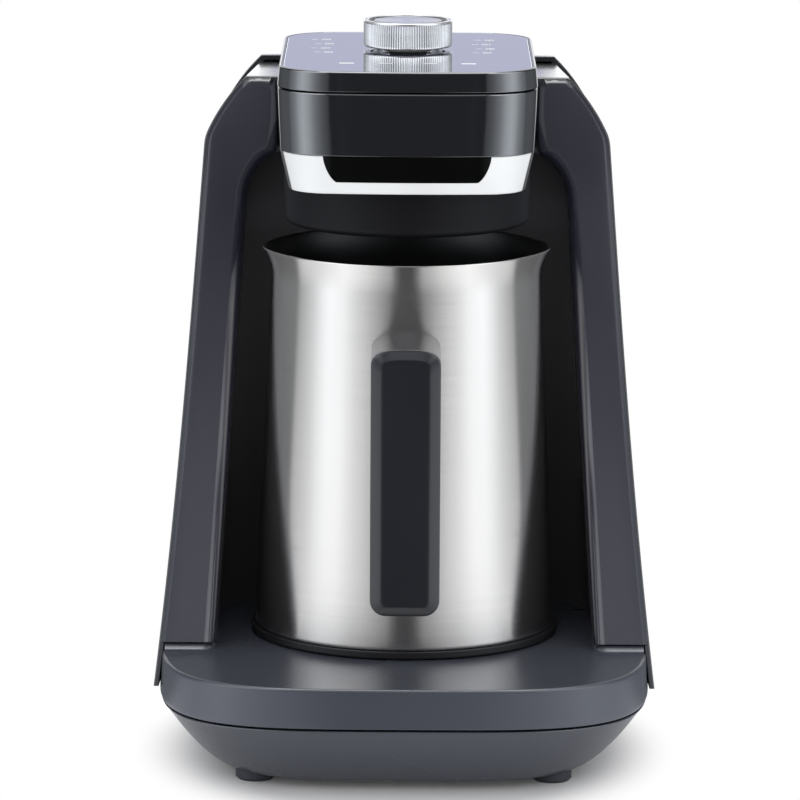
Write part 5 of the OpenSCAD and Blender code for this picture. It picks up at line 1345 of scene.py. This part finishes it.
def reflectors(s):
    """A round wall of soft light with a dark gap in front and dark flags at the sides, a ring
    on the floor, a card above, one in front and three behind."""
    a = np.radians(np.linspace(-RING_HALF_TURN, RING_HALF_TURN, 309))
    rim = {r: np.stack([r * np.sin(a), RING_Y - r * np.cos(a)], 1) for r in (900, 904, 100, 899)}
    wall, apron = (np.vstack([rim[i], rim[o][::-1]]) for i, o in ((900, 904), (100, 899)))
    sides = Shape()
    for x in (-150, 77):
        sides.block((x, 950, 300), (x + 73, 954, 470))
    for name, shape, levels, rgb, strength in (
            ("light_wall", Shape().prism(wall, 2, 1.0, 420.0), WALL_LEVELS,
             (0.92, 0.99, 1.07), s.wall),
            ("high_wall", Shape().prism(wall, 2, 420.5, 1500.0), HIGH_LEVELS,
             (0.96, 0.99, 1.05), 2.0),
            ("light_apron", Shape().prism(apron, 2, 0.3, 0.6), APRON_LEVELS,
             (0.95, 0.99, 1.05), s.wall),
            ("top_card", Shape().block((-350, -300, 1300), (350, 300, 1304)), EVEN_LEVELS,
             (1.0, 1.0, 1.0), s.lid),
            ("fill_card", Shape().block((-300, -940, 480), (300, -936, 900)), EVEN_LEVELS,
             (0.70, 0.72, 0.80), 1.0),
            ("side_cards", sides, EVEN_LEVELS, (0.96, 0.98, 1.0), 1.8),
            ("back_card", Shape().block((-72, 950, 300), (72, 954, 470)), EVEN_LEVELS,
             (0.57, 0.59, 0.75), 1.0)):
        lit_card(name, shape, levels, rgb, strength)


WHITE = (1.0, 1.0, 1.0, 1.0)
SENSOR_WIDTH, FRAME, CENTRE_X = 36.0, 800, 405.75  # millimetres, then pixels
GLOW_PLACE, GLOW_SIZE = (0.0, -0.030, 0.0), (0.066, 0.085, 1.0)


def pale_floor(s):
    """A pale floor that is white to the camera away from the base, and keeps its shadow."""
    floor = solid("floor", Shape().block((-3000, -3000, -4), (3000, 3000, 0)))
    mat, tree, shader = new_material("pale floor")
    blended(tree, shader, noise(tree, 0.8, 1.0), (0.93, 0.93, 0.935), (0.95, 0.95, 0.955))
    feed(tree, shader, {"Roughness": 0.9, "Specular IOR Level": 0.0})
    coords = add(tree, "TexCoord").outputs["Object"]
    spot = add(tree, "Mapping", {"Location": GLOW_PLACE, "Scale": GLOW_SIZE, "Vector": coords},
               vector_type="TEXTURE")
    away = add(tree, "VectorMath", {0: spot.outputs["Vector"]}, operation="LENGTH")
    fade = add(tree, "MapRange", {"From Min": 1.05, "From Max": 1.5, "To Min": 0.03,
                                  "To Max": s.floor_glow, "Value": away.outputs["Value"]},
               interpolation_type="SMOOTHSTEP")
    share = sums(tree, "MULTIPLY", add(tree, "LightPath").outputs["Is Camera Ray"],
                 fade.outputs["Result"])
    glow = add(tree, "Emission", {"Color": WHITE})
    mix = add(tree, "MixShader", {"Fac": share, 1: shader.outputs["BSDF"],
                                  2: glow.outputs["Emission"]})
    feed(tree, tree.nodes["Material Output"], {"Surface": mix.outputs["Shader"]})
    floor.data.materials.append(mat)


def soft_world(strength):
    """Even white light, and plain white behind everything."""
    world = bpy.data.worlds.new("soft studio")
    world.use_nodes = True
    tree = world.node_tree
    back = feed(tree, tree.nodes["Background"], {"Color": WHITE, "Strength": strength})
    white = add(tree, "Background", {"Color": WHITE})
    mix = add(tree, "MixShader", {"Fac": add(tree, "LightPath").outputs["Is Camera Ray"],
                                  1: back.outputs["Background"], 2: white.outputs["Background"]})
    feed(tree, tree.nodes["World Output"], {"Surface": mix.outputs["Shader"]})
    return world


class COFFEE_OT_stage(bpy.types.Operator):
    """Set the pale floor, the soft light all round, the reflectors and the camera"""
    bl_idname = "coffee.stage"
    bl_label = "Stage"

    def execute(self, context):
        s = context.scene.coffee_stage
        pale_floor(s)
        reflectors(s)
        context.scene.world = soft_world(s.ambient)
        cam = bpy.data.objects.new("camera", bpy.data.cameras.new("camera"))
        context.scene.collection.objects.link(cam)
        cam.data.lens, cam.data.sensor_width = s.lens, SENSOR_WIDTH
        cam.data.clip_start, cam.data.clip_end = 0.1, 20.0
        cam.location = (0.0, POT_Y * MM - s.distance, s.height)
        turn = Matrix.Rotation(math.pi / 2 - s.pitch, 3, "X") @ Matrix.Rotation(s.roll, 3, "Z")
        cam.rotation_euler = turn.to_euler()
        cam.data.shift_x = (FRAME / 2 - CENTRE_X) / FRAME
        context.scene.camera = cam
        context.scene.view_settings.view_transform = "Standard"
        return {"FINISHED"}


class COFFEE_PT_panel(bpy.types.Panel):
    """Sizes, colours and builders of the coffee maker"""
    bl_idname = "COFFEE_PT_panel"
    bl_label = "Coffee Maker"
    bl_space_type = "VIEW_3D"
    bl_region_type = "UI"
    bl_category = "Coffee Maker"

    def draw(self, context):
        """Every size and look, then a button for each builder."""
        for group in GROUPS:
            data = getattr(context.scene, group)
            for prop in data.bl_rna.properties:
                if prop.identifier not in ("rna_type", "name"):
                    self.layout.prop(data, prop.identifier)
        for operator in OPERATORS:
            self.layout.operator(operator.bl_idname)


GROUPS = {"coffee_body": BodySizes, "coffee_head": HeadSizes, "coffee_knob": KnobSizes,
          "coffee_pot": PotSizes, "coffee_finish": Finishes, "coffee_stage": StageSizes}
OPERATORS = (COFFEE_OT_inner_parts, COFFEE_OT_base, COFFEE_OT_column, COFFEE_OT_head,
             COFFEE_OT_knob, COFFEE_OT_pot, COFFEE_OT_handle, COFFEE_OT_stage)
CLASSES = (*GROUPS.values(), *OPERATORS, COFFEE_PT_panel)


def register():
    """Adds the classes and the scene's property groups."""
    for cls in CLASSES:
        bpy.utils.register_class(cls)
    for name, group in GROUPS.items():
        setattr(bpy.types.Scene, name, bpy.props.PointerProperty(type=group))


def unregister():
    """Takes them away again."""
    for name in GROUPS:
        delattr(bpy.types.Scene, name)
    for cls in reversed(CLASSES):
        bpy.utils.unregister_class(cls)


def main():
    """Registers the classes and builds everything in order."""
    register()
    for cls in OPERATORS:
        group, name = cls.bl_idname.split(".")
        getattr(getattr(bpy.ops, group), name)()


if __name__ == "__main__":
    main()
